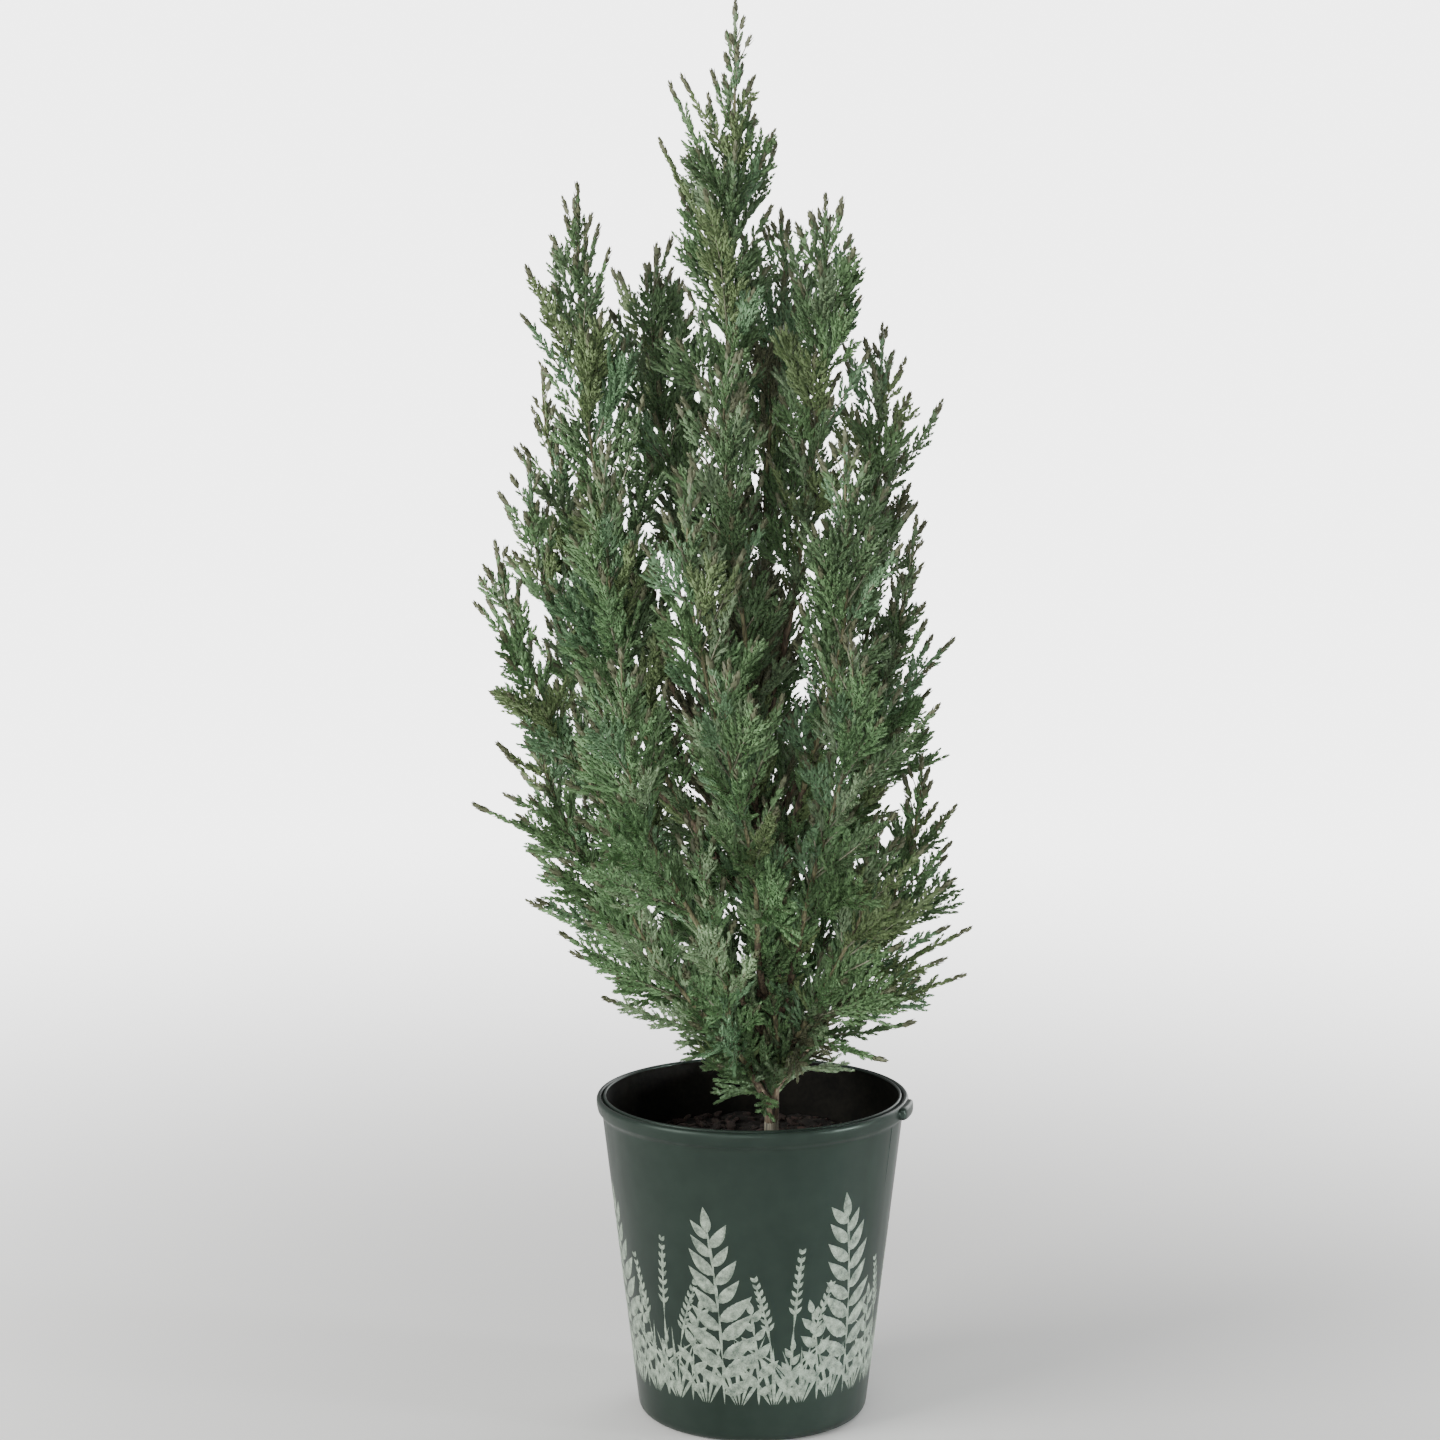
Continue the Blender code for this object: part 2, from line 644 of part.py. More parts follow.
def build_foliage(plume, kept, blades, finish):
    """One mass: its stem and blades joined by one union."""
    pieces = collection("pieces_" + plume.name)
    last = plume.stem_start + 0.93 * plume.stem_length
    ends = np.linspace(plume.stem_start, last, 6)
    points = along(plume.path, plume.lengths, ends)
    radii = np.linspace(STEM_RADIUS, STEM_TIP_RADIUS, len(points))
    stem = frozen(tube("stem", points, radii, 0), "foliage_" + plume.name)
    mass = new_object("foliage_" + plume.name, stem, finish=finish)
    foliage_pieces(plume, kept, blades, pieces)
    join = mass.modifiers.new("join", "BOOLEAN")
    join.operation = "UNION"
    join.operand_type = "COLLECTION"
    join.collection = pieces
    join.solver = "MANIFOLD"
    graph = bpy.context.evaluated_depsgraph_get()
    joined = bpy.data.meshes.new_from_object(mass.evaluated_get(graph))
    mass.modifiers.remove(join)
    mass.data = joined
    largest_body(joined)
    for piece in list(pieces.objects):
        bpy.data.objects.remove(piece, do_unlink=True)
    bpy.data.collections.remove(pieces)


def build_bough(plume, bark):
    """One bough: a tapering tube from the trunk's side to the foot of its foliage."""
    name = "bough_" + plume.name
    radii = np.linspace(BOUGH_RADIUS, BOUGH_TIP_RADIUS, len(plume.bough))
    new_object(name, frozen(tube(name, plume.bough, radii, 1), name), finish=bark)


def main():
    """Builds the potted juniper."""
    build_pot()
    build_soil()
    bark = material("bark", (0.16, 0.125, 0.085), 0.85)
    leaves = material("foliage", (0.085, 0.135, 0.075), 0.7)
    build_trunk(bark)
    blades = toothed_blade("short_spray", 2), toothed_blade("spray", 3)
    kept = kept_shoots()
    for plume in ALL_PLUMES:
        if plume.name != "leader":
            build_bough(plume, bark)
        build_foliage(plume, kept[plume.name], blades, leaves)


main()
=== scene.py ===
"""The looks of the potted juniper: a young upright juniper with plumes of fine scale leaves, in a printed
plastic pot.

Metres, +Z up, the front of the plant towards -Y. The origin is on the pot's axis, on its underside. The
pieces follow in the order in which the plant is put together: pot, print, soil, trunk and boughs, stems and
twigs, leaves.
"""

import math

import bpy
import numpy as np
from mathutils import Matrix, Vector


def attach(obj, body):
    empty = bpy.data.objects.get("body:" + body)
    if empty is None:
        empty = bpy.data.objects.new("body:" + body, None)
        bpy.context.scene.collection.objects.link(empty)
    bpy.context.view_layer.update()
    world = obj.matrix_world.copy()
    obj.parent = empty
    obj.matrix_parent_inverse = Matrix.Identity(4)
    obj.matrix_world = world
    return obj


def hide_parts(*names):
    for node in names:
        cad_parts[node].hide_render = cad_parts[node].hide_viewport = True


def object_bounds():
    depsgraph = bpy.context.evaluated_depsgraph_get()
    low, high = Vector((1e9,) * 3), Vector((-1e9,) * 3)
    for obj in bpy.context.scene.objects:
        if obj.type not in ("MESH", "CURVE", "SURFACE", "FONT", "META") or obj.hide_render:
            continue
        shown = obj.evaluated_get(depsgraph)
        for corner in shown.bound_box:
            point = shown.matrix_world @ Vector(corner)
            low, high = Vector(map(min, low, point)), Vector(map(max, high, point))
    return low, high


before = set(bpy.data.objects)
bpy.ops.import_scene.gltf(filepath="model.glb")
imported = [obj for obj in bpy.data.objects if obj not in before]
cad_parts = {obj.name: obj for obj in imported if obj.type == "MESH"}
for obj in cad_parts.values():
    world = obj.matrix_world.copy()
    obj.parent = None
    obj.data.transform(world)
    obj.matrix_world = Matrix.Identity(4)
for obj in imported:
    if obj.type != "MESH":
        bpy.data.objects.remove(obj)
cad_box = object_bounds()

# Camera and room. The camera stands two metres off, a little above the middle of the plant, and looks
# slightly down. The room is a pale floor under a pale sky, with broad soft lamps beside and over the camera
# and one behind.
CAMERA_PLACE = (0.0, -1.965, 0.697)
CAMERA_AIM = (0.0, 0.0, 0.4275)
CAMERA_LENS = 82.5
SENSOR_WIDTH = 36.0
FRAME_SHIFT = -0.0226
FLOOR_RADIUS = 30.0
FLOOR_CORNERS = 64
FLOOR_FADE = (0.15, 2.2)
SKY_LIGHT = 0.47
SEEN_WHITE = 4.5

camera = bpy.data.objects.new("camera", bpy.data.cameras.new("camera"))
camera.location = CAMERA_PLACE
camera.rotation_euler = (Vector(CAMERA_AIM) - Vector(CAMERA_PLACE)).to_track_quat("-Z", "Y").to_euler()
camera.data.lens = CAMERA_LENS
camera.data.sensor_width = SENSOR_WIDTH
camera.data.shift_x = FRAME_SHIFT
bpy.context.scene.collection.objects.link(camera)
bpy.context.scene.camera = camera


def lamp(name, place, aim, size, watts, color, spread=180.0):
    """A square soft lamp at a place, turned to an aim; spread is the angle of its beam."""
    made = bpy.data.objects.new(name, bpy.data.lights.new(name, "AREA"))
    made.data.shape = "SQUARE"
    made.data.size = size
    made.data.energy = watts
    made.data.color = color
    made.data.spread = math.radians(spread)
    made.location = place
    made.rotation_euler = (Vector(aim) - Vector(place)).to_track_quat("-Z", "Y").to_euler()
    bpy.context.scene.collection.objects.link(made)


lamp("left_lamp", (-1.95, -1.15, 0.95), (0.0, 0.0, 0.36), 1.3, 64.0, (1.0, 0.99, 0.96))
lamp("right_lamp", (1.75, -0.55, 0.14), (0.0, 0.0, 0.06), 0.5, 1.0, (0.97, 0.99, 1.0), 12.0)
lamp("front_lamp", (-0.5, -2.3, 0.35), (0.0, 0.0, 0.22), 1.4, 32.0, (1.0, 1.0, 0.98))
lamp("back_lamp", (1.25, 1.65, 0.8), (0.0, 0.0, 0.4), 1.4, 26.0, (1.0, 1.0, 1.0))

sky = bpy.data.worlds.new("sky")
sky.use_nodes = True
sky_nodes, sky_links = sky.node_tree.nodes, sky.node_tree.links
sky_light = sky_nodes["Background"]
sky_light.inputs["Color"].default_value = (1.0, 1.0, 1.0, 1.0)
sky_light.inputs["Strength"].default_value = SKY_LIGHT
sky_seen = sky_nodes.new("ShaderNodeBackground")
sky_seen.inputs["Color"].default_value = (1.0, 1.0, 1.0, 1.0)
sky_seen.inputs["Strength"].default_value = SEEN_WHITE
sky_ray, sky_mix = sky_nodes.new("ShaderNodeLightPath"), sky_nodes.new("ShaderNodeMixShader")
sky_links.new(sky_ray.outputs["Is Camera Ray"], sky_mix.inputs[0])
sky_links.new(sky_light.outputs[0], sky_mix.inputs[1])
sky_links.new(sky_seen.outputs[0], sky_mix.inputs[2])
sky_links.new(sky_mix.outputs[0], sky_nodes["World Output"].inputs["Surface"])
bpy.context.scene.world = sky


def solid(name, points, faces, smooth=True):
    """An object from arrays: points (n, 3), and faces as an array (m, corners) of point numbers or a list
    of such."""
    blocks = faces if isinstance(faces, list) else [faces]
    corners = np.concatenate([block.ravel() for block in blocks]).astype(np.int32)
    sizes = np.concatenate([np.full(len(block), block.shape[1]) for block in blocks]).astype(np.int32)
    mesh = bpy.data.meshes.new(name)
    mesh.vertices.add(len(points))
    mesh.vertices.foreach_set("co", np.asarray(points, dtype=np.float32).ravel())
    mesh.loops.add(len(corners))
    mesh.loops.foreach_set("vertex_index", corners)
    mesh.polygons.add(len(sizes))
    mesh.polygons.foreach_set("loop_start", np.concatenate([[0], np.cumsum(sizes)[:-1]]).astype(np.int32))
    mesh.polygons.foreach_set("use_smooth", np.full(len(sizes), smooth))
    mesh.update(calc_edges=True)
    made = bpy.data.objects.new(name, mesh)
    bpy.context.scene.collection.objects.link(made)
    return made


def finish(name, roughness):
    """A new material with nodes: the material, its tree's nodes, its links, and its Principled shader."""
    made = bpy.data.materials.new(name)
    made.use_nodes = True
    shader = made.node_tree.nodes["Principled BSDF"]
    shader.inputs["Roughness"].default_value = roughness
    return made, made.node_tree.nodes, made.node_tree.links, shader


floor_turn = np.linspace(0.0, 2.0 * np.pi, FLOOR_CORNERS, endpoint=False)
floor_ring = np.stack([np.cos(floor_turn), np.sin(floor_turn), 0.0 * floor_turn], axis=1) * FLOOR_RADIUS
floor_rim = np.arange(FLOOR_CORNERS)
floor = solid(
    "floor",
    np.concatenate([floor_ring, [[0.0, 0.0, 0.0]]]),
    np.stack([floor_rim, np.roll(floor_rim, -1), np.full(FLOOR_CORNERS, FLOOR_CORNERS)], axis=1),
)
floor_finish, floor_nodes, floor_links, floor_shader = finish("floor_paint", 0.9)
floor_shader.inputs["Base Color"].default_value = (0.93, 0.93, 0.92, 1.0)
floor_place, floor_far = floor_nodes.new("ShaderNodeTexCoord"), floor_nodes.new("ShaderNodeVectorMath")
floor_far.operation = "LENGTH"
floor_fade, floor_seen = floor_nodes.new("ShaderNodeMapRange"), floor_nodes.new("ShaderNodeMath")
floor_fade.interpolation_type = "SMOOTHSTEP"
floor_fade.inputs["From Min"].default_value = FLOOR_FADE[0]
floor_fade.inputs["From Max"].default_value = FLOOR_FADE[1]
floor_seen.operation = "MULTIPLY"
floor_ray, floor_glow = floor_nodes.new("ShaderNodeLightPath"), floor_nodes.new("ShaderNodeEmission")
floor_glow.inputs["Strength"].default_value = SEEN_WHITE
floor_mix = floor_nodes.new("ShaderNodeMixShader")
floor_links.new(floor_place.outputs["Object"], floor_far.inputs[0])
floor_links.new(floor_far.outputs["Value"], floor_fade.inputs["Value"])
floor_links.new(floor_fade.outputs[0], floor_seen.inputs[0])
floor_links.new(floor_ray.outputs["Is Camera Ray"], floor_seen.inputs[1])
floor_links.new(floor_seen.outputs[0], floor_mix.inputs[0])
floor_links.new(floor_shader.outputs[0], floor_mix.inputs[1])
floor_links.new(floor_glow.outputs[0], floor_mix.inputs[2])
floor_links.new(floor_mix.outputs[0], floor_nodes["Material Output"].inputs["Surface"])
floor.data.materials.append(floor_finish)

# Pot: a thin tapered shell of dark green plastic, moulded in one piece, satin outside, with a rolled lip, a
# thin crest inside the lip, one rib inside the wall and a small lug on the lip at the right of the front.
POT_HEIGHT = 0.198
POT_FOOT_RADIUS = 0.0695
POT_TAPER = 0.119
POT_WALL = 0.0017
POT_FLOOR = 0.003
POT_CORNER = 0.0065
FOOT_RECESS = 0.0016
LIP_FOOT = 0.1855
LIP_REACH = 0.0952
LIP_FLARE = 0.0030
LIP_GROOVE = 0.0040
CREST_RADIUS = 0.0901
POT_AROUND = 224
OUTER_WALL_ROWS = 22
INNER_WALL_ROWS = 16


def wall_radius(height):
    """Outer radius of the wall at a height: it grows evenly from the foot up."""
    return POT_FOOT_RADIUS + POT_TAPER * height


def arc(centre, radii, start, end, count):
    """Points (radius, height) on an ellipse's arc from a start angle to an end angle in degrees, counted
    from +X."""
    angles = np.radians(np.linspace(start, end, count))
    return np.stack([centre[0] + radii[0] * np.cos(angles), centre[1] + radii[1] * np.sin(angles)], axis=1)


def turned_faces(rows, columns):
    """Quads of a surface turned round an axis, rows along the profile and columns round it, closed round."""
    i, j = np.meshgrid(np.arange(rows - 1), np.arange(columns), indexing="ij")
    k = (j + 1) % columns
    row, next_row = i * columns, (i + 1) * columns
    return np.stack([row + j, row + k, next_row + k, next_row + j], axis=-1).reshape(-1, 4)


def turned(profile, columns):
    """Points of a profile (radius, height) turned round Z: x = r cos a, y = r sin a, z = height."""
    angles = 2.0 * np.pi * np.arange(columns) / columns
    radius, height = profile[:, 0][:, None], profile[:, 1][:, None]
    return np.stack([radius * np.cos(angles), radius * np.sin(angles), height + 0.0 * angles], axis=-1)


# The profile runs from the middle of the underside out over the recess and the foot ring, up the wall, over
# the lip, its groove and the crest, down the inside, and in over the floor.
inner_top = wall_radius(LIP_FOOT) - POT_WALL
inner_foot = wall_radius(POT_FLOOR) - POT_WALL
outer_wall = np.linspace(LIP_FOOT - 0.0006, POT_CORNER, OUTER_WALL_ROWS)
inner_radii = np.linspace(inner_top, inner_foot, INNER_WALL_ROWS)
inner_heights = np.linspace(LIP_FOOT, POT_FLOOR + 0.004, INNER_WALL_ROWS)
lip_rise = np.linspace(0.0, 1.0, 7)
lip_swell = lip_rise**2 * (3.0 - 2.0 * lip_rise)
pot_profile = np.concatenate([
    [(0.0005, FOOT_RECESS), (POT_FOOT_RADIUS - 0.014, FOOT_RECESS)],
    arc((POT_FOOT_RADIUS - 0.0105, 0.0024), (0.0024, 0.0024), 200.0, 270.0, 4),
    arc((POT_FOOT_RADIUS - 0.0062, POT_CORNER), (0.0069, POT_CORNER), -90.0, -6.0, 9),
    np.stack([wall_radius(outer_wall[::-1]), outer_wall[::-1]], axis=1),
    np.stack([wall_radius(LIP_FOOT) + LIP_FLARE * lip_swell, LIP_FOOT + 0.0046 * lip_rise], axis=1),
    [(LIP_REACH - 0.0002, LIP_FOOT + 0.0068)],
    arc((LIP_REACH - 0.0017, POT_HEIGHT - 0.0032), (0.0017, 0.0027), -5.0, 160.0, 12),
    [(LIP_REACH - 0.0034, POT_HEIGHT - LIP_GROOVE), (CREST_RADIUS + 0.0009, POT_HEIGHT - LIP_GROOVE)],
    arc((CREST_RADIUS, POT_HEIGHT - 0.0010), (0.0008, 0.0010), 10.0, 180.0, 8),
    np.stack([inner_radii, inner_heights], axis=1),
    [(inner_foot - 0.004, POT_FLOOR), (0.0005, POT_FLOOR)],
])
pot_points = turned(pot_profile, POT_AROUND)

# The wall's inside carries a low upright rib at the back left.
RIB_BEARING = math.radians(148.0)
RIB_HALF_WIDTH = math.radians(1.3)
RIB_HEIGHT = 0.0009
pot_turn = 2.0 * np.pi * np.arange(POT_AROUND) / POT_AROUND
rib_shape = np.exp(-(((pot_turn - RIB_BEARING) / RIB_HALF_WIDTH) ** 2))
first_inner = len(pot_profile) - INNER_WALL_ROWS - 3
inner_rows = (pot_profile[:, 1] < LIP_FOOT + 0.0001) & (pot_profile[:, 1] > POT_FLOOR + 0.003)
inner_rows &= np.arange(len(pot_profile)) > first_inner
pot_points[inner_rows, :, :2] *= 1.0 - (RIB_HEIGHT * rib_shape / inner_top)[None, :, None]

# The lug is a short block on the lip: across it a rounded box, along it an arc whose ends are tucked back
# into the lip.
LUG_BEARING = math.radians(-14.0)
LUG_HALF_ARC = math.radians(9.0)
LUG_REACH = 0.0036
LUG_HALF_HEIGHT = 0.0040
LUG_LEVEL = POT_HEIGHT - 0.0048
LUG_ROWS, LUG_AROUND = 25, 16
lug_along = np.linspace(-1.0, 1.0, LUG_ROWS)
lug_section = np.radians(np.linspace(0.0, 360.0, LUG_AROUND, endpoint=False))
lug_box = np.stack([np.cos(lug_section), np.sin(lug_section)], axis=1)
lug_box /= (np.abs(lug_box) ** 4).sum(axis=1, keepdims=True) ** 0.25
lug_swell = (1.0 - np.abs(lug_along) ** 8)[:, None]
lug_radius = LIP_REACH - 0.0012 + (LUG_REACH + 0.0010) * 0.5 * lug_swell * (1.0 + lug_box[:, 0])
lug_height = LUG_LEVEL + LUG_HALF_HEIGHT * (0.4 + 0.6 * lug_swell) * lug_box[:, 1]
lug_turn = LUG_BEARING + LUG_HALF_ARC * lug_along[:, None]
lug_points = np.stack([lug_radius * np.cos(lug_turn), lug_radius * np.sin(lug_turn), lug_height], axis=-1)


def tube_caps(rows, columns, first=0):
    """The two end faces of a tube whose points run row by row, each a polygon of the row's points."""
    ring = first + np.arange(columns)
    return [ring[::-1].reshape(1, -1), (ring + (rows - 1) * columns).reshape(1, -1)]


# The mould's parting seam is a thin raised line that runs down the wall below the lug and fades out.
SEAM_BEARING = math.radians(-24.0)
SEAM_LENGTH = 0.046
SEAM_RELIEF = 0.00030
SEAM_SINK = 0.00008
SEAM_HALF_WIDTH = 0.0007
SEAM_ROWS, SEAM_AROUND = 30, 8
seam_share = np.linspace(0.0, 1.0, SEAM_ROWS)[:, None]
seam_section = np.radians(np.linspace(0.0, 360.0, SEAM_AROUND, endpoint=False))
seam_height = LIP_FOOT + 0.001 - SEAM_LENGTH * seam_share
seam_relief = SEAM_RELIEF * (1.0 - seam_share**2) * np.sin(seam_section)
seam_radius = wall_radius(seam_height) + seam_relief - SEAM_SINK
seam_turn = SEAM_BEARING + SEAM_HALF_WIDTH * np.cos(seam_section) / seam_radius
seam_points = np.stack(
    [seam_radius * np.cos(seam_turn), seam_radius * np.sin(seam_turn), seam_height + 0.0 * seam_turn], axis=-1
)

pot_faces = turned_faces(len(pot_profile), POT_AROUND)
lug_first = pot_points.size // 3
lug_faces = turned_faces(LUG_ROWS, LUG_AROUND)[:, ::-1] + lug_first
lug_caps = [cap[:, ::-1] + lug_first for cap in tube_caps(LUG_ROWS, LUG_AROUND)]
seam_first = (pot_points.size + lug_points.size) // 3
seam_faces = turned_faces(SEAM_ROWS, SEAM_AROUND) + seam_first
seam_caps = tube_caps(SEAM_ROWS, SEAM_AROUND, seam_first)
pot_caps = tube_caps(len(pot_profile), POT_AROUND)
pot = solid(
    "pot_shell",
    np.concatenate([pot_points.reshape(-1, 3), lug_points.reshape(-1, 3), seam_points.reshape(-1, 3)]),
    [np.concatenate([pot_faces, lug_faces, seam_faces]), *pot_caps, *lug_caps, *seam_caps],
)


def mottle_group():
    """A group that blends two colours by two sizes of noise on Object coordinates, and gives the noise as a
    height."""
    group = bpy.data.node_groups.new("mottle", "ShaderNodeTree")
    for name, way, kind in (
        ("Scale", "INPUT", "Float"), ("Low", "INPUT", "Color"), ("High", "INPUT", "Color"),
        ("Color", "OUTPUT", "Color"), ("Height", "OUTPUT", "Float"),
    ):
        group.interface.new_socket(name, in_out=way, socket_type="NodeSocket" + kind)
    nodes, links = group.nodes, group.links
    given, out = nodes.new("NodeGroupInput"), nodes.new("NodeGroupOutput")
    place = nodes.new("ShaderNodeTexCoord")
    coarse, fine = nodes.new("ShaderNodeTexNoise"), nodes.new("ShaderNodeTexNoise")
    coarse.inputs["Detail"].default_value = 3.0
    fine.inputs["Detail"].default_value = 2.0
    finer = nodes.new("ShaderNodeMath")
    finer.operation = "MULTIPLY"
    finer.inputs[1].default_value = 6.0
    links.new(given.outputs["Scale"], finer.inputs[0])
    links.new(given.outputs["Scale"], coarse.inputs["Scale"])
    links.new(finer.outputs[0], fine.inputs["Scale"])
    links.new(place.outputs["Object"], coarse.inputs["Vector"])
    links.new(place.outputs["Object"], fine.inputs["Vector"])
    mean = nodes.new("ShaderNodeMix")
    mean.inputs[0].default_value = 0.4
    links.new(coarse.outputs["Fac"], mean.inputs[2])
    links.new(fine.outputs["Fac"], mean.inputs[3])
    stretch = nodes.new("ShaderNodeMapRange")
    stretch.inputs["From Min"].default_value = 0.36
    stretch.inputs["From Max"].default_value = 0.64
    links.new(mean.outputs[0], stretch.inputs["Value"])
    blend = nodes.new("ShaderNodeMix")
    blend.data_type = "RGBA"
    links.new(stretch.outputs[0], blend.inputs[0])
    links.new(given.outputs["Low"], blend.inputs[6])
    links.new(given.outputs["High"], blend.inputs[7])
    links.new(blend.outputs[2], out.inputs["Color"])
    links.new(mean.outputs[0], out.inputs["Height"])
    return group


MOTTLE = mottle_group()


def mottled(name, low, high, scale, roughness, relief):
    """A material whose colour is mottled between two colours, with the same mottling as a shallow relief."""
    made, nodes, links, shader = finish(name, roughness)
    group = nodes.new("ShaderNodeGroup")
    group.node_tree = MOTTLE
    group.inputs["Scale"].default_value = scale
    group.inputs["Low"].default_value = (*low, 1.0)
    group.inputs["High"].default_value = (*high, 1.0)
    links.new(group.outputs["Color"], shader.inputs["Base Color"])
    bump = nodes.new("ShaderNodeBump")
    bump.inputs["Strength"].default_value = 0.5
    bump.inputs["Distance"].default_value = relief
    links.new(group.outputs["Height"], bump.inputs["Height"])
    links.new(bump.outputs["Normal"], shader.inputs["Normal"])
    return made


def pot_plastic():
    """Dark green plastic with a faint mottling, whose gloss varies in upright streaks."""
    made = mottled("pot_plastic", (0.0120, 0.0190, 0.0152), (0.0168, 0.0256, 0.0208), 14.0, 0.34, 0.00006)
    nodes, links = made.node_tree.nodes, made.node_tree.links
    shader = nodes["Principled BSDF"]
    shader.inputs["Specular IOR Level"].default_value = 0.24
    shader.inputs["Specular Tint"].default_value = (0.80, 1.0, 0.90, 1.0)
    place = nodes.new("ShaderNodeTexCoord")
    streaks = nodes.new("ShaderNodeTexNoise")
    streaks.inputs["Scale"].default_value = 60.0
    stretch = nodes.new("ShaderNodeMapping")
    stretch.inputs["Scale"].default_value = (1.0, 1.0, 0.06)
    links.new(place.outputs["Object"], stretch.inputs["Vector"])
    links.new(stretch.outputs[0], streaks.inputs["Vector"])
    dull = nodes.new("ShaderNodeMapRange")
    dull.inputs["From Min"].default_value = 0.3
    dull.inputs["From Max"].default_value = 0.7
    dull.inputs["To Min"].default_value = 0.30
    dull.inputs["To Max"].default_value = 0.42
    links.new(streaks.outputs["Fac"], dull.inputs["Value"])
    links.new(dull.outputs[0], shader.inputs["Roughness"])
    return made


pot.data.materials.append(pot_plastic())
# The inside of the wall and the floor are the same plastic as the outside, painted near black: painted shade
# inside the pot.
inside_painted_shade = mottled("pot_inside", (0.003, 0.003, 0.0025), (0.010, 0.009, 0.007), 60.0, 0.75, 0.0002)
inside_painted_shade.node_tree.nodes["Principled BSDF"].inputs["Specular IOR Level"].default_value = 0.12
pot.data.materials.append(inside_painted_shade)
pot_rows = np.arange(len(pot.data.polygons)) // POT_AROUND
inner_faces = (pot_rows >= first_inner) & (np.arange(len(pot.data.polygons)) < len(pot_faces))
pot.data.polygons.foreach_set("material_index", inner_faces.astype(np.int32))
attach(pot, "root")
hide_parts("pot")

# Print: a band of plants in pale sage ink round the lower wall: tall sprigs with oval leaves, ears of
# grass, and low sprigs and tufts between them. The ink is mottled and about a tenth of a millimetre thick.
PRINT_FOOT = 0.027
PRINT_THICKNESS = 0.00012
PRINT_SINK = 0.0001
PRINTED = 24
INK_ROWS, INK_COLUMNS = 9, 5
STALK_WIDTH = 0.0017
SPRIG_SPREAD = 62.0
SPRIG_SPREAD_FALL = 26.0
OVAL = 0.72
OVAL_BEND = 0.16
# A sprig's height, number of leaves, longest leaf, and a leaf's width as a share of its length.
TALL_SPRIG = (0.112, 18, 0.030, 0.36)
LOW_SPRIG = (0.058, 9, 0.0170, 0.46)
SMALL_SPRIG = (0.034, 6, 0.013, 0.50)
# Each ear of a group: its place beside the group's middle, its height and its sway.
EARS = ((-0.007, 0.086, -0.012), (0.002, 0.104, 0.004), (0.010, 0.078, 0.015))
EAR_PAIRS = 8
GRAIN_LENGTH = 0.0062
GRAIN_SHRINK = 0.0003
GRAIN_WIDTH = 0.0021
TUFT_BLADES = 5
TUFT_PLACE = 0.009
TUFT_HEIGHT = 0.040
TUFT_WIDTH = 0.0023
print_draw = np.random.RandomState(7)


def on_wall(sideways, height, lift):
    """Points on the pot's wall: sideways is a length round the wall at the print's foot, lift a distance
    out of it."""
    radius = wall_radius(height)
    angle = sideways / wall_radius(PRINT_FOOT)
    return np.stack([(radius + lift) * np.cos(angle), (radius + lift) * np.sin(angle), height], axis=-1)


def leaf(foot, lean, length, width, fullest, bend):
    """Front and back grid of a printed leaf: half width = width sin(pi t^fullest) / 2 along it, thin at its
    edge."""
    t = np.linspace(0.0, 1.0, INK_ROWS)[:, None]
    v = np.linspace(-1.0, 1.0, INK_COLUMNS)[None, :]
    side = 0.5 * width * np.sin(np.pi * t**fullest) * v + bend * length * t**2
    rise = length * t + 0.0 * v
    sideways = foot[0] + side * math.cos(lean) + rise * math.sin(lean)
    height = foot[1] - side * math.sin(lean) + rise * math.cos(lean)
    edge = (1.0 - v**4) * np.minimum(1.0, 8.0 * t * (1.0 - t) + 0.05)
    front = on_wall(sideways, height, PRINT_THICKNESS * edge)
    return front, on_wall(sideways, height, -PRINT_SINK + 0.0 * edge)


def stalk(middle, height, sway):
    """A thin stem in four strips that leans over by sway x share^2."""
    strips = []
    for share in (0.0, 0.25, 0.5, 0.72):
        foot = (middle + sway * share**2, PRINT_FOOT + height * share - 0.002)
        lean = math.atan2(sway * (2.0 * share + 0.25), height)
        strips.append(leaf(foot, lean, height * 0.27, STALK_WIDTH, 1.0, 0.0))
    return strips


def sprig(middle, height, sway, leaves, size, slender):
    """A stalk with oval leaves to the left and right by turns, smaller and steeper up to its tip."""
    shapes = stalk(middle, height, sway)
    for k in range(leaves):
        share = (k + 0.9) / (leaves + 0.9)
        sign = -1.0 if k % 2 else 1.0
        long = size * (1.0 - 0.50 * share) * (0.88 + 0.24 * print_draw.rand()) * min(1.0, 0.62 + 1.6 * share)
        spread = SPRIG_SPREAD - SPRIG_SPREAD_FALL * share + 10.0 * print_draw.rand()
        turn = 2.0 * sway * share / height + sign * math.radians(spread)
        foot = (middle + sway * share**2, PRINT_FOOT + height * share * 0.96)
        shapes.append(leaf(foot, turn, long, slender * long, OVAL, -OVAL_BEND * sign))
    foot = (middle + sway * 0.92, PRINT_FOOT + height * 0.94)
    shapes.append(leaf(foot, 2.0 * sway / height, size * 0.55, 0.5 * slender * size, OVAL, 0.0))
    return shapes


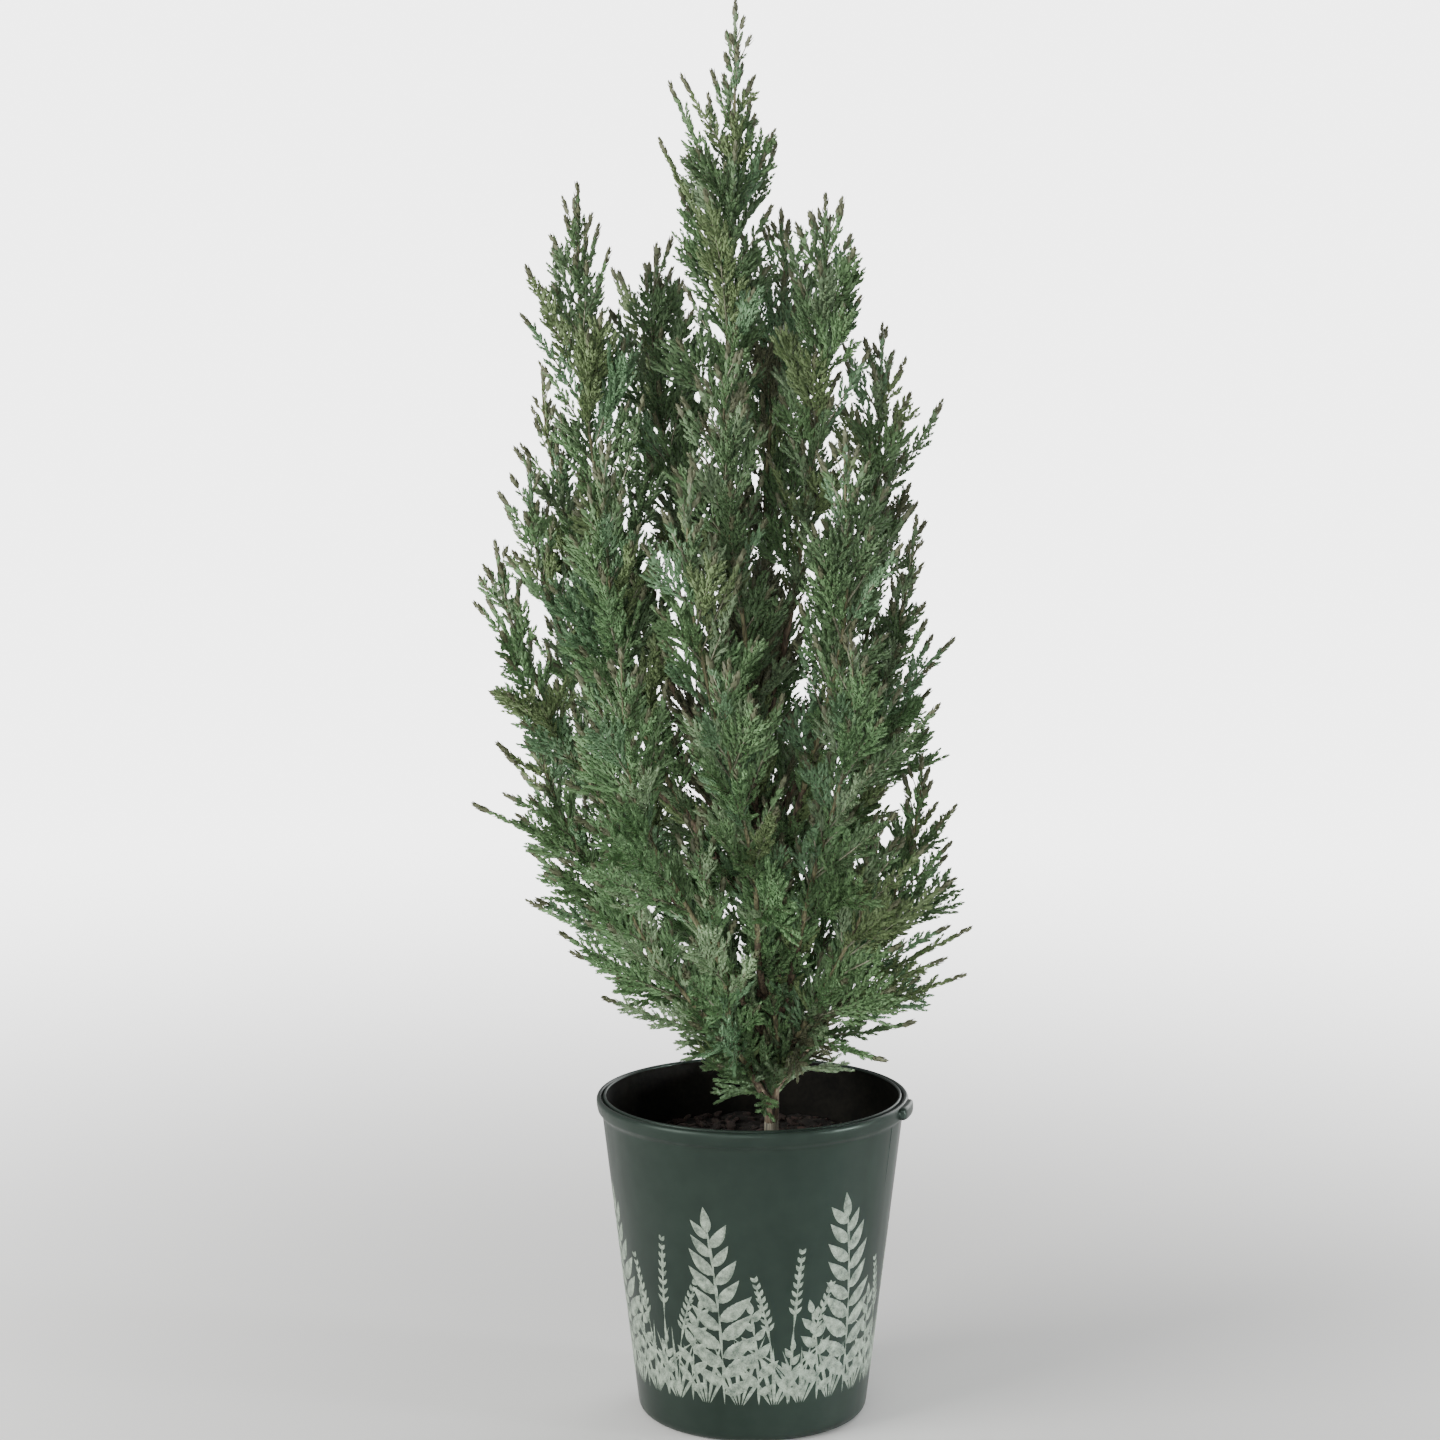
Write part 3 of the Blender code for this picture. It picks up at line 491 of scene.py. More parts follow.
def ear(middle, height, sway):
    """A stalk of grass with an ear of small grains over its upper two fifths and one long blade at its
    foot."""
    shapes = stalk(middle, height, sway)
    for k in range(EAR_PAIRS):
        share = 0.58 + 0.40 * k / (EAR_PAIRS - 1.0)
        for sign in (-1.0, 1.0):
            turn = 2.0 * sway * share / height + sign * math.radians(38.0 - 14.0 * k / EAR_PAIRS)
            foot = (middle + sway * share**2, PRINT_FOOT + height * share)
            shapes.append(leaf(foot, turn, GRAIN_LENGTH - GRAIN_SHRINK * k, GRAIN_WIDTH, 0.8, 0.0))
    way = np.sign(sway)
    shapes.append(leaf((middle, PRINT_FOOT - 0.001), -0.30 * way, height * 0.62, 0.0030, 0.6, -0.45 * way))
    return shapes


shapes = []
for k in range(PRINTED):
    middle = (k + 0.30 * print_draw.rand()) * 2.0 * math.pi * wall_radius(PRINT_FOOT) / PRINTED
    lean = 0.020 * (print_draw.rand() - 0.5)
    vary = 0.90 + 0.16 * print_draw.rand()
    if k % 4 == 3:
        for offset, height, sway in EARS:
            shapes += ear(middle + offset, height * vary, sway)
        shapes += sprig(middle + 0.001, SMALL_SPRIG[0], 0.002, *SMALL_SPRIG[1:])
    else:
        plan = TALL_SPRIG if k % 4 == 1 else LOW_SPRIG
        shapes += sprig(middle, plan[0] * vary, lean, *plan[1:])
    for blade in range(TUFT_BLADES):
        turn = (blade - 2.0) * 0.22 + 0.1 * (print_draw.rand() - 0.5)
        tall = TUFT_HEIGHT * (0.7 + 0.5 * print_draw.rand())
        foot = (middle + TUFT_PLACE + 0.0011 * (blade - 2), PRINT_FOOT - 0.002)
        shapes.append(leaf(foot, turn, tall, TUFT_WIDTH, 0.7, 0.3 * turn))
side_points = INK_ROWS * INK_COLUMNS
leaf_grid = np.arange(side_points).reshape(INK_ROWS, INK_COLUMNS)
quad_corners = [leaf_grid[:-1, :-1], leaf_grid[:-1, 1:], leaf_grid[1:, 1:], leaf_grid[1:, :-1]]
leaf_quads = np.stack(quad_corners, axis=-1).reshape(-1, 4)
rim = np.concatenate([leaf_grid[0], leaf_grid[1:, -1], leaf_grid[-1, -2::-1], leaf_grid[-2:0:-1, 0]])
rim_quads = np.stack([rim, np.roll(rim, -1), np.roll(rim, -1) + side_points, rim + side_points], axis=1)
closed_leaf = np.concatenate([leaf_quads, leaf_quads[:, ::-1] + side_points, rim_quads[:, ::-1]])
print_points = [np.concatenate([front.reshape(-1, 3), back.reshape(-1, 3)]) for front, back in shapes]
print_faces = closed_leaf[None] + 2 * side_points * np.arange(len(shapes))[:, None, None]
sprigs = solid("printed_sprigs", np.concatenate(print_points), print_faces.reshape(-1, 4))
sage_ink = mottled("sage_ink", (0.075, 0.105, 0.082), (0.34, 0.41, 0.325), 230.0, 0.5, 0.00005)
sprigs.data.materials.append(sage_ink)
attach(sprigs, "root")

# Soil: dark potting mix, a crumbly dished surface 33 mm under the rim, with chips of composted bark and some
# paler bits lying on it.
SOIL_TOP = 0.165
SOIL_DISH = 0.0025
SOIL_SINK = 0.0006
SOIL_SKIRT = 0.012
SOIL_CALM = 6.0
SOIL_RELIEF = 0.0022
SOIL_ROWS = 84
SOIL_AROUND = 200
CHIPS = 700
CHIP_CORNERS = 6
CHIP_THICKNESS = 0.18
# The rings of a chip from its underside up: each one's level in half thicknesses, and its size.
CHIP_RINGS = ((-1.0, 0.9), (1.0, 1.0), (1.7, 0.5))


def rough(points, scale, seed, octaves=4):
    """Smooth noise of about -1 to 1: the sum of fall^octave x sin(point . way + phase) over random ways.

    Each octave's ways are twice as long as the last one's, so its waves are half as wide."""
    fall = 0.62
    draw = np.random.RandomState(seed)
    total, weight = np.zeros(points.shape[:-1]), 0.0
    for octave in range(octaves):
        for _ in range(5):
            way = draw.normal(size=points.shape[-1])
            way *= scale * 2.0**octave / np.linalg.norm(way)
            total += fall**octave * np.sin(points @ way + draw.rand() * 6.28)
        weight += fall**octave * 5
    return total / weight * 2.2


soil_edge = wall_radius(SOIL_TOP) - POT_WALL - 0.0005
soil_share = np.concatenate([np.linspace(0.001, 1.0, SOIL_ROWS), [1.0]])[:, None]
soil_turn = 2.0 * np.pi * np.arange(SOIL_AROUND)[None, :] / SOIL_AROUND
soil_reach = soil_edge * soil_share
soil_flat = 0.0 * soil_share * soil_turn
soil_points = np.stack([soil_reach * np.cos(soil_turn), soil_reach * np.sin(soil_turn), soil_flat], axis=-1)
soil_relief = SOIL_RELIEF * (rough(soil_points, 160.0, 3) + 0.6 * rough(soil_points, 700.0, 4, 3))
soil_relief = soil_relief * np.minimum(1.0, SOIL_CALM * soil_share)
soil_points[..., 2] = SOIL_TOP - SOIL_SINK - SOIL_DISH * soil_share**2 + soil_relief
soil_points[-1, :, 2] = SOIL_TOP - SOIL_SKIRT
soil_faces = [turned_faces(SOIL_ROWS + 1, SOIL_AROUND), *tube_caps(SOIL_ROWS + 1, SOIL_AROUND)]
soil = solid("potting_mix", soil_points.reshape(-1, 3), [block[:, ::-1] for block in soil_faces])
potting_mix = mottled("potting_mix", (0.004, 0.0035, 0.003), (0.020, 0.014, 0.011), 150.0, 0.95, 0.001)
soil.data.materials.append(potting_mix)
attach(soil, "root")
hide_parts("soil")

chip_draw = np.random.RandomState(11)
chip_place = soil_edge * 0.96 * np.sqrt(chip_draw.rand(CHIPS))
chip_angle = 2.0 * np.pi * chip_draw.rand(CHIPS)
chip_size = 0.0012 + 0.0042 * chip_draw.rand(CHIPS) ** 2.5
chip_turn = 2.0 * np.pi * chip_draw.rand(CHIPS)
chip_corner = 2.0 * np.pi * np.arange(CHIP_CORNERS)[None, :] / CHIP_CORNERS + chip_turn[:, None]
chip_reach = chip_size[:, None] * (0.6 + 0.4 * chip_draw.rand(CHIPS, CHIP_CORNERS))
chip_reach = chip_reach * (1.0 - 0.45 * np.abs(np.sin(chip_corner - chip_turn[:, None])))
chip_ways = np.stack([np.cos(chip_corner), np.sin(chip_corner)], axis=-1)
chip_rise = CHIP_THICKNESS * chip_size
chip_middle = np.stack([chip_place * np.cos(chip_angle), chip_place * np.sin(chip_angle)], axis=-1)
chip_level = SOIL_TOP - SOIL_DISH * (chip_place / soil_edge) ** 2 + 0.0008 + 0.3 * chip_rise
chip_tilt = chip_draw.normal(size=(CHIPS, 2)) * 0.3
chip_rings = []
for level, grow in CHIP_RINGS:
    flat = chip_middle[:, None, :] + grow * chip_reach[..., None] * chip_ways
    slant = ((flat - chip_middle[:, None, :]) * chip_tilt[:, None, :]).sum(-1)
    height = chip_level[:, None] + level * chip_rise[:, None] + slant
    chip_rings.append(np.concatenate([flat, height[..., None]], axis=-1))
chip_points = np.stack(chip_rings, axis=1).reshape(-1, 3)
chip_first = len(CHIP_RINGS) * CHIP_CORNERS * np.arange(CHIPS)[:, None, None]
chip_sides = (turned_faces(len(CHIP_RINGS), CHIP_CORNERS)[None] + chip_first).reshape(-1, 4)
chip_caps = tube_caps(len(CHIP_RINGS), CHIP_CORNERS)
chip_ends = [(cap[None] + chip_first).reshape(-1, CHIP_CORNERS) for cap in chip_caps]
chips = solid("bark_chips", chip_points, [chip_sides, *chip_ends], smooth=False)
bark_chip = mottled("bark_chip", (0.007, 0.005, 0.004), (0.060, 0.036, 0.030), 45.0, 0.9, 0.0005)
chips.data.materials.append(bark_chip)
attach(chips, "root")

# Trunk: one slender stem that stands in the soil on a small flare and runs up through the foliage, under
# thin tan bark that splits into long fibrous strips.
GAP = 0.0003
TRUNK_FOOT = (0.0115, 0.0)
TRUNK_TOP = 0.590
TRUNK_LEAN = -0.0290
TRUNK_BOW = 0.009
TRUNK_FOOT_RADIUS = 0.0037
TRUNK_TOP_RADIUS = 0.0024
FLARE = 0.0014
FLARE_HEIGHT = 0.011
TRUNK_BURIED = 0.004
TRUNK_ROWS = 300
TRUNK_AROUND = 48
TRUNK_SEED = 21
STRIP_RELIEF = 0.09
STRIP_LENGTH = 0.011
STRIPS_AROUND = 3.2
STRIP_NOISE = 1.6


def trunk_point(height):
    """Centre of the trunk at a height: foot + lean x share + bow x sin(pi x share) across, share from foot
    to top."""
    share = (height - SOIL_TOP) / (TRUNK_TOP - SOIL_TOP)
    across_trunk = TRUNK_FOOT[0] + TRUNK_LEAN * share + TRUNK_BOW * np.sin(math.pi * share)
    return np.stack([across_trunk, TRUNK_FOOT[1] + 0.0 * share, height + 0.0 * share], axis=-1)


def trunk_radius(height):
    """Radius of the trunk at a height: an even taper, and a flare that dies out above the soil."""
    share = (height - SOIL_TOP) / (TRUNK_TOP - SOIL_TOP)
    taper = TRUNK_FOOT_RADIUS + (TRUNK_TOP_RADIUS - TRUNK_FOOT_RADIUS) * share
    return taper + FLARE * np.exp(-(height - SOIL_TOP) / FLARE_HEIGHT)


def limb_grid(path, side, radii, columns, seed):
    """Bark round a path: rings square to it, whose radius is raised and lowered in long strips by smooth
    noise.

    The strips are noise in (cos a, sin a, length / strip length), so they run along the limb."""
    tangent = np.gradient(path, axis=0)
    tangent /= np.linalg.norm(tangent, axis=1, keepdims=True)
    first = side - (tangent @ side)[:, None] * tangent
    first /= np.linalg.norm(first, axis=1, keepdims=True)
    second = np.cross(tangent, first)
    length = np.concatenate([[0.0], np.cumsum(np.linalg.norm(np.diff(path, axis=0), axis=1))])
    turn = 2.0 * np.pi * np.arange(columns)[None, :] / columns
    level = 0.0 * length[:, None]
    upward = length[:, None] / STRIP_LENGTH + 0.0 * turn
    strip = np.stack([np.cos(turn) + level, np.sin(turn) + level, upward], axis=-1)
    ridges = rough(strip * np.array([STRIPS_AROUND, STRIPS_AROUND, 1.0]), STRIP_NOISE, seed, 3)
    radius = radii[:, None] * (1.0 + STRIP_RELIEF * ridges)
    around = np.cos(turn)[..., None] * first[:, None, :] + np.sin(turn)[..., None] * second[:, None, :]
    return path[:, None, :] + radius[..., None] * around


def joined_tubes(name, grids):
    """One object from tubes with the same rows and columns: all their points, then their sides, then their
    ends."""
    rows, columns = grids[0].shape[:2]
    firsts = rows * columns * np.arange(len(grids))
    sides = np.concatenate([turned_faces(rows, columns) + first for first in firsts])
    ends = [cap for first in firsts for cap in tube_caps(rows, columns, first)]
    return solid(name, np.concatenate([grid.reshape(-1, 3) for grid in grids]), [sides, *ends])


def bark(name, low, high, scale):
    """Fibrous bark: colour and relief from noise drawn out along Z, split by darker cracks."""
    made, nodes, links, shader = finish(name, 0.85)
    place = nodes.new("ShaderNodeTexCoord")
    stretch = nodes.new("ShaderNodeMapping")
    stretch.inputs["Scale"].default_value = (scale, scale, scale * 0.11)
    fibres, cracks = nodes.new("ShaderNodeTexNoise"), nodes.new("ShaderNodeTexNoise")
    fibres.inputs["Scale"].default_value = 1.0
    fibres.inputs["Detail"].default_value = 6.0
    cracks.inputs["Scale"].default_value = 0.45
    cracks.inputs["Detail"].default_value = 3.0
    links.new(place.outputs["Object"], stretch.inputs["Vector"])
    links.new(stretch.outputs[0], fibres.inputs["Vector"])
    links.new(stretch.outputs[0], cracks.inputs["Vector"])
    ramp = nodes.new("ShaderNodeValToRGB")
    ramp.color_ramp.elements[0].position = 0.32
    ramp.color_ramp.elements[0].color = (*low, 1.0)
    ramp.color_ramp.elements[1].position = 0.66
    ramp.color_ramp.elements[1].color = (*high, 1.0)
    links.new(fibres.outputs["Fac"], ramp.inputs["Fac"])
    split = nodes.new("ShaderNodeMapRange")
    split.inputs["From Min"].default_value = 0.36
    split.inputs["From Max"].default_value = 0.46
    split.inputs["To Min"].default_value = 0.35
    links.new(cracks.outputs["Fac"], split.inputs["Value"])
    shade = nodes.new("ShaderNodeMix")
    shade.data_type = "RGBA"
    shade.blend_type = "MULTIPLY"
    shade.inputs[0].default_value = 1.0
    links.new(ramp.outputs["Color"], shade.inputs[6])
    links.new(split.outputs[0], shade.inputs[7])
    links.new(shade.outputs[2], shader.inputs["Base Color"])
    bump = nodes.new("ShaderNodeBump")
    bump.inputs["Strength"].default_value = 0.8
    bump.inputs["Distance"].default_value = 0.0005
    links.new(fibres.outputs["Fac"], bump.inputs["Height"])
    links.new(bump.outputs["Normal"], shader.inputs["Normal"])
    return made


trunk_heights = np.concatenate([[SOIL_TOP - TRUNK_BURIED], np.linspace(SOIL_TOP, TRUNK_TOP, TRUNK_ROWS - 1)])
trunk_radii = trunk_radius(np.maximum(trunk_heights, SOIL_TOP))
trunk_side = np.array([1.0, 0.0, 0.0])
trunk_grid = limb_grid(trunk_point(trunk_heights), trunk_side, trunk_radii, TRUNK_AROUND, TRUNK_SEED)
trunk = joined_tubes("trunk_bark", [trunk_grid])
trunk.data.materials.append(bark("trunk_bark", (0.075, 0.062, 0.046), (0.34, 0.32, 0.25), 620.0))
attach(trunk, "root")
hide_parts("trunk")

# Boughs and plume stems: each plume's limb leaves the trunk in a small collar, swings out and bends up, and
# thins to the plume's tip. The bare part is brown bark, and from where the leaves start the stem is thinner
# and greener.
BOUGH_RADIUS = 0.0027
BOUGH_TIP_RADIUS = 0.0019
STEM_TIP_RADIUS = 0.0005
COLLAR = 0.45
COLLAR_LENGTH = 0.006
SWAY = 0.006
BOUGH_ROWS = 48
BOUGH_AROUND = 16
BOUGH_SEED = 30
STEM_ROWS = 60
STEM_AROUND = 7
STEM_SEED = 60
PATH_ROWS = 161
STEM_SAMPLES = 61
# Each tier's share of bare bough, and how full its plumes are at the foot and further up.
TIERS = {
    "leader": (0.0, 0.80, 0.76),
    "high": (0.22, 0.62, 1.9),
    "upper": (0.28, 0.70, 1.8),
    "middle": (0.25, 0.75, 2.0),
    "low": (0.13, 0.95, 1.8),
    "inner": (0.10, 1.0, 2.0),
}
# A plume's name, the height at which it leaves the trunk, its bearing, its tip's reach and height, the half
# width of its foliage, and how early it bends up.
PLUMES = (
    ("leader", TRUNK_TOP, 180, 0.010, 0.852, 0.080, 2.0),
    ("high_left", 0.370, 175, 0.104, 0.747, 0.058, 3.0),
    ("high_right", 0.410, 346, 0.044, 0.740, 0.056, 2.4),
    ("high_back_left", 0.420, 138, 0.078, 0.712, 0.066, 2.6),
    ("high_front", 0.340, 256, 0.058, 0.655, 0.055, 2.6),
    ("high_back_right", 0.430, 74, 0.062, 0.733, 0.058, 2.6),
    ("upper_right", 0.350, 8, 0.078, 0.664, 0.052, 2.4),
    ("upper_front_right", 0.310, 306, 0.090, 0.605, 0.050, 2.4),
    ("upper_front", 0.290, 249, 0.098, 0.585, 0.046, 2.4),
    ("upper_front_left", 0.300, 218, 0.110, 0.600, 0.048, 2.4),
    ("upper_left", 0.320, 184, 0.133, 0.586, 0.044, 2.2),
    ("upper_back_left", 0.335, 157, 0.139, 0.636, 0.040, 1.9),
    ("upper_back_right", 0.325, 33, 0.104, 0.607, 0.042, 1.9),
    ("middle_left", 0.250, 190, 0.154, 0.538, 0.049, 1.6),
    ("middle_front_left", 0.230, 238, 0.140, 0.485, 0.050, 1.9),
    ("middle_front", 0.248, 264, 0.126, 0.480, 0.050, 1.9),
    ("middle_front_right", 0.235, 300, 0.112, 0.490, 0.050, 1.9),
    ("middle_right", 0.265, 356, 0.098, 0.552, 0.033, 1.45),
    ("middle_back_right", 0.250, 36, 0.106, 0.495, 0.044, 1.8),
    ("middle_back", 0.263, 88, 0.124, 0.515, 0.050, 1.9),
    ("middle_back_left", 0.240, 150, 0.140, 0.490, 0.044, 1.9),
    ("low_left", 0.213, 178, 0.132, 0.440, 0.042, 1.8),
    ("low_front_left", 0.205, 214, 0.098, 0.380, 0.041, 1.95),
    ("low_front", 0.191, 250, 0.092, 0.385, 0.046, 2.1),
    ("low_front_right", 0.212, 322, 0.092, 0.380, 0.043, 1.95),
    ("low_right", 0.201, 5, 0.103, 0.405, 0.043, 2.05),
    ("low_back_right", 0.202, 60, 0.106, 0.370, 0.045, 1.9),
    ("low_back_left", 0.209, 118, 0.114, 0.375, 0.043, 1.9),
    ("inner_front", 0.180, 290, 0.038, 0.385, 0.042, 2.2),
)


def unit(vectors):
    """The vectors at length one."""
    return vectors / np.linalg.norm(vectors, axis=-1, keepdims=True)


def along(points, lengths, at):
    """The point at a length along a path."""
    return np.stack([np.interp(at, lengths, points[:, i]) for i in range(3)], axis=-1)


class Plume:
    """The geometry of one plume: its limb from the trunk's middle to its tip, and the lengths where its
    parts start.

    The limb goes out by 1 - (1 - t)^bend while it rises by t, with a sideways sway that is nothing at both
    ends."""

    def __init__(self, number, row):
        self.number = number
        self.name, start, bearing, reach, top, self.half_width, bend = row
        bough_share, self.foot_fullness, self.fullness = TIERS[self.name.split("_")[0]]
        t = np.linspace(0.0, 1.0, PATH_ROWS)[:, None]
        angle = math.radians(bearing)
        foot = trunk_point(start)
        tip = np.array([reach * math.cos(angle), reach * math.sin(angle), top])
        outward_share = 1.0 - (1.0 - t) ** bend
        self.side = np.array([-math.sin(angle), math.cos(angle), 0.0])
        phase = 1.7 * len(self.name) + start * 40.0
        self.path = foot + (tip - foot) * np.hstack([outward_share, outward_share, t])
        self.path += self.side * SWAY * np.sin(2.0 * math.pi * t + phase) * t * (1.0 - t) * 4.0
        self.lengths = np.concatenate([[0.0], np.cumsum(np.linalg.norm(np.diff(self.path, axis=0), axis=1))])
        self.whole = self.lengths[-1]
        self.first = self.clear_of_trunk()
        self.bough_end = self.first + bough_share * (self.whole - self.first)
        self.stem_start = self.bough_end + GAP
        self.stem_length = self.whole - self.stem_start
        self.stem = self.at(np.linspace(self.stem_start, self.whole, STEM_SAMPLES))

    def at(self, length):
        """The point at a length along the limb."""
        return along(self.path, self.lengths, length)

    def clear_of_trunk(self):
        """Length at which the limb's surface is one gap clear of the trunk's, nothing for the leader."""
        if self.name == "leader":
            return 0.0
        length = np.arange(0.0, 0.06, 0.0001)
        point = self.at(length)
        rise = unit(self.at(length + 0.001) - point)[:, 2]
        away = np.linalg.norm(point[:, :2] - trunk_point(point[:, 2])[:, :2], axis=1)
        return length[np.argmax(away > trunk_radius(point[:, 2]) + BOUGH_RADIUS * rise + GAP)]


ALL_PLUMES = [Plume(number, row) for number, row in enumerate(PLUMES)]
bough_share, stem_share = np.linspace(0.0, 1.0, BOUGH_ROWS), np.linspace(0.0, 1.0, STEM_ROWS)
bough_grids, stem_grids = [], []
for plume in ALL_PLUMES:
    if plume.name != "leader":
        length = plume.bough_end * bough_share
        radii = BOUGH_RADIUS + (BOUGH_TIP_RADIUS - BOUGH_RADIUS) * bough_share
        radii = radii * (1.0 + COLLAR * np.exp(-np.maximum(length - 0.6 * plume.first, 0.0) / COLLAR_LENGTH))
        seed = BOUGH_SEED + plume.number
        bough_grids.append(limb_grid(plume.at(length), plume.side, radii, BOUGH_AROUND, seed))
    foot_radius = TRUNK_TOP_RADIUS if plume.name == "leader" else BOUGH_TIP_RADIUS
    radii = foot_radius + (STEM_TIP_RADIUS - foot_radius) * stem_share**0.8
    length = np.maximum(plume.bough_end - 0.001, 0.0) + (plume.whole - plume.bough_end) * stem_share
    path = plume.at(np.minimum(length, plume.whole))
    stem_grids.append(limb_grid(path, plume.side, radii, STEM_AROUND, STEM_SEED + plume.number))
boughs = joined_tubes("boughs", bough_grids)
boughs.data.materials.append(bark("bough_bark", (0.060, 0.042, 0.028), (0.20, 0.155, 0.105), 800.0))
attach(boughs, "root")
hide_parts(*["bough_" + plume.name for plume in ALL_PLUMES[1:]])
stems = joined_tubes("plume_stems", stem_grids)
stems.data.materials.append(bark("stem_bark", (0.075, 0.068, 0.035), (0.26, 0.25, 0.14), 900.0))
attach(stems, "root")

# Twigs: from each plume's stem grow shoots by the golden angle, from each shoot branchlets to both sides,
# and from the longer branchlets fingers. All that would leave the plume's own space or touch a limb is
# shortened or left out.

# How far foliage keeps from limbs, other plumes' rooms, the solids' box, the rim and the soil, and at how
# many points the limbs are sampled for it.
LIMB_CLEARANCE = 0.0022
ROOM_MARGIN = 0.0013
TWIG_MARGIN = -0.009
BOX_MARGIN = 0.002
RIM_REACH = 0.078
RIM_CLEARANCE = 0.003
SOIL_CLEARANCE = 0.008
FOLIAGE_FOOT = 0.190
TRUNK_SAMPLES = 180
LIMB_SPANS = 3
SPAN_POINTS = 8


def limb_samples():
    """Points every few millimetres inside the trunk and the boughs, with the limb's radius at each."""
    heights = np.linspace(SOIL_TOP, TRUNK_TOP, TRUNK_SAMPLES)
    points, radii = [trunk_point(heights)], [trunk_radius(heights)]
    for plume in ALL_PLUMES[1:]:
        corners = plume.at(np.linspace(plume.first, plume.bough_end, LIMB_SPANS + 1))
        share = np.linspace(0.0, 1.0, SPAN_POINTS)[None, :, None]
        spans = corners[1:] - corners[:-1]
        points.append((corners[:-1, None, :] + spans[:, None, :] * share).reshape(-1, 3))
        radii.append(np.full(LIMB_SPANS * SPAN_POINTS, BOUGH_RADIUS))
    return np.concatenate(points), np.concatenate(radii)


LIMB_POINTS, LIMB_RADII = limb_samples()
BOX_LOW, BOX_HIGH = np.array(cad_box[0]) - BOX_MARGIN, np.array(cad_box[1]) + BOX_MARGIN


def clearances(points, others):
    """Distances from each of the points p to each of the others q: the root of p.p + q.q - 2 p.q."""
    squares = (points**2).sum(-1)[:, None] + (others**2).sum(-1)[None, :] - 2.0 * points @ others.T
    return np.sqrt(np.maximum(squares, 0.0))


def clear_of_limbs(points):
    """For each point, whether it is outside every limb and above the foot of the foliage and the pot's
    rim."""
    from_axis = np.hypot(points[:, 0], points[:, 1])
    floor_level = np.where(from_axis > RIM_REACH, POT_HEIGHT + RIM_CLEARANCE, FOLIAGE_FOOT)
    outside = (clearances(points, LIMB_POINTS) - LIMB_RADII).min(1) > 0.5 * LIMB_CLEARANCE
    return outside & (points[:, 2] > floor_level)


def in_own_room(points, plume, margin=ROOM_MARGIN):
    """For each point, whether it is nearer to the plume's own stem than to any other, and clear of limbs
    and pot."""
    if plume is None:
        return clear_of_limbs(points)
    own = clearances(points, plume.stem).min(1)
    rest = np.concatenate([other.stem[::2] for other in ALL_PLUMES if other is not plume])
    good = own + margin <= clearances(points, rest).min(1)
    good &= (clearances(points, LIMB_POINTS) - LIMB_RADII).min(1) >= LIMB_CLEARANCE
    good &= ((points > BOX_LOW) & (points < BOX_HIGH)).all(-1)
    from_axis = np.hypot(points[:, 0], points[:, 1])
    floor_level = np.where(from_axis > RIM_REACH, POT_HEIGHT + RIM_CLEARANCE, SOIL_TOP + SOIL_CLEARANCE)
    return good & (points[:, 2] > floor_level)


def across(directions):
    """Two unit vectors square to each direction and to each other."""
    upright = np.abs(directions[..., 2:]) >= 0.9
    helper = np.where(upright, np.array([1.0, 0.0, 0.0]), np.array([0.0, 0.0, 1.0]))
    first = unit(np.cross(helper, directions))
    return first, np.cross(directions, first)


# Single long sprays that stand out of the crown: the plume, the share of its stem where each starts, and
# its tip.
STRAYS = (
    ("leader", 0.40, (-0.0545, 0.004, 0.7715)),
    ("leader", 0.54, (-0.048, -0.005, 0.803)),
    ("low_left", 0.78, (-0.154, -0.006, 0.415)),
    ("low_left", 0.56, (-0.165, -0.010, 0.377)),
    ("low_left", 0.20, (-0.134, 0.000, 0.348)),
    ("low_left", 0.03, (-0.122, -0.010, 0.302)),
    ("low_front_left", 0.03, (-0.088, -0.050, 0.268)),
    ("low_front_left", 0.01, (-0.046, -0.038, 0.212)),
    ("low_front", 0.01, (-0.020, -0.070, 0.232)),
    ("low_right", 0.22, (0.130, 0.008, 0.298)),
    ("low_right", 0.08, (0.124, 0.000, 0.270)),
    ("low_right", 0.02, (0.104, -0.006, 0.244)),
    ("low_front_right", 0.02, (0.080, -0.050, 0.230)),
)
# The shoots: how many, how they stand (slopes and rolls in degrees), how long they are, and how wide their
# blades.
SHOOTS_PER_METRE = 156
FIRST_SHOOT = 0.02
SHOOT_RANGE = 0.90
SHOOT_TURN = 0.9
SHOOT_SLOPE = 46.0
SHOOT_SLOPE_FALL = 17.0
SHOOT_SLOPE_SCATTER = 10.0
SHOOT_ROLL = 70.0
SHOOT_LIFT = 0.24
SHOOT_REACH = 1.68
SHOOT_SIZES = (0.82, 0.34)
SHOOT_BEND = 0.05
SHORTEST_SHOOT = 0.012
SPIKE_EVERY = 3
SPIKE_REACH = 1.22
SPIKE_WIDTH = 0.34
BLADE_NARROWING = 0.45
BLADE_FOOT = 0.22
BLADE_FULLEST = 0.9
BLADE_TAPER = (2.6, 0.02)
BLADE_ROWS, BLADE_COLUMNS = 11, 7
BUSHY_REACH = 0.94
STRAY_ROLL = 0.3
STRAY_WIDTH = 0.36
GOLDEN_ANGLE = math.radians(137.5)
FITS = (1.0, 0.85, 0.7, 0.55, 0.4)
SEED = 41


def shoot_envelope(share, foot_fullness, fullness):
    """Length of the shoots along a plume as a share of the longest: swell x (1 - 0.97 share^fullness).

    The swell goes from the foot's fullness to 1 by a sine over the lowest 0.3 of the plume."""
    swell = foot_fullness + (1.0 - foot_fullness) * np.sin(0.5 * math.pi * np.minimum(share / 0.3, 1.0))
    return swell * (1.0 - 0.97 * share**fullness)


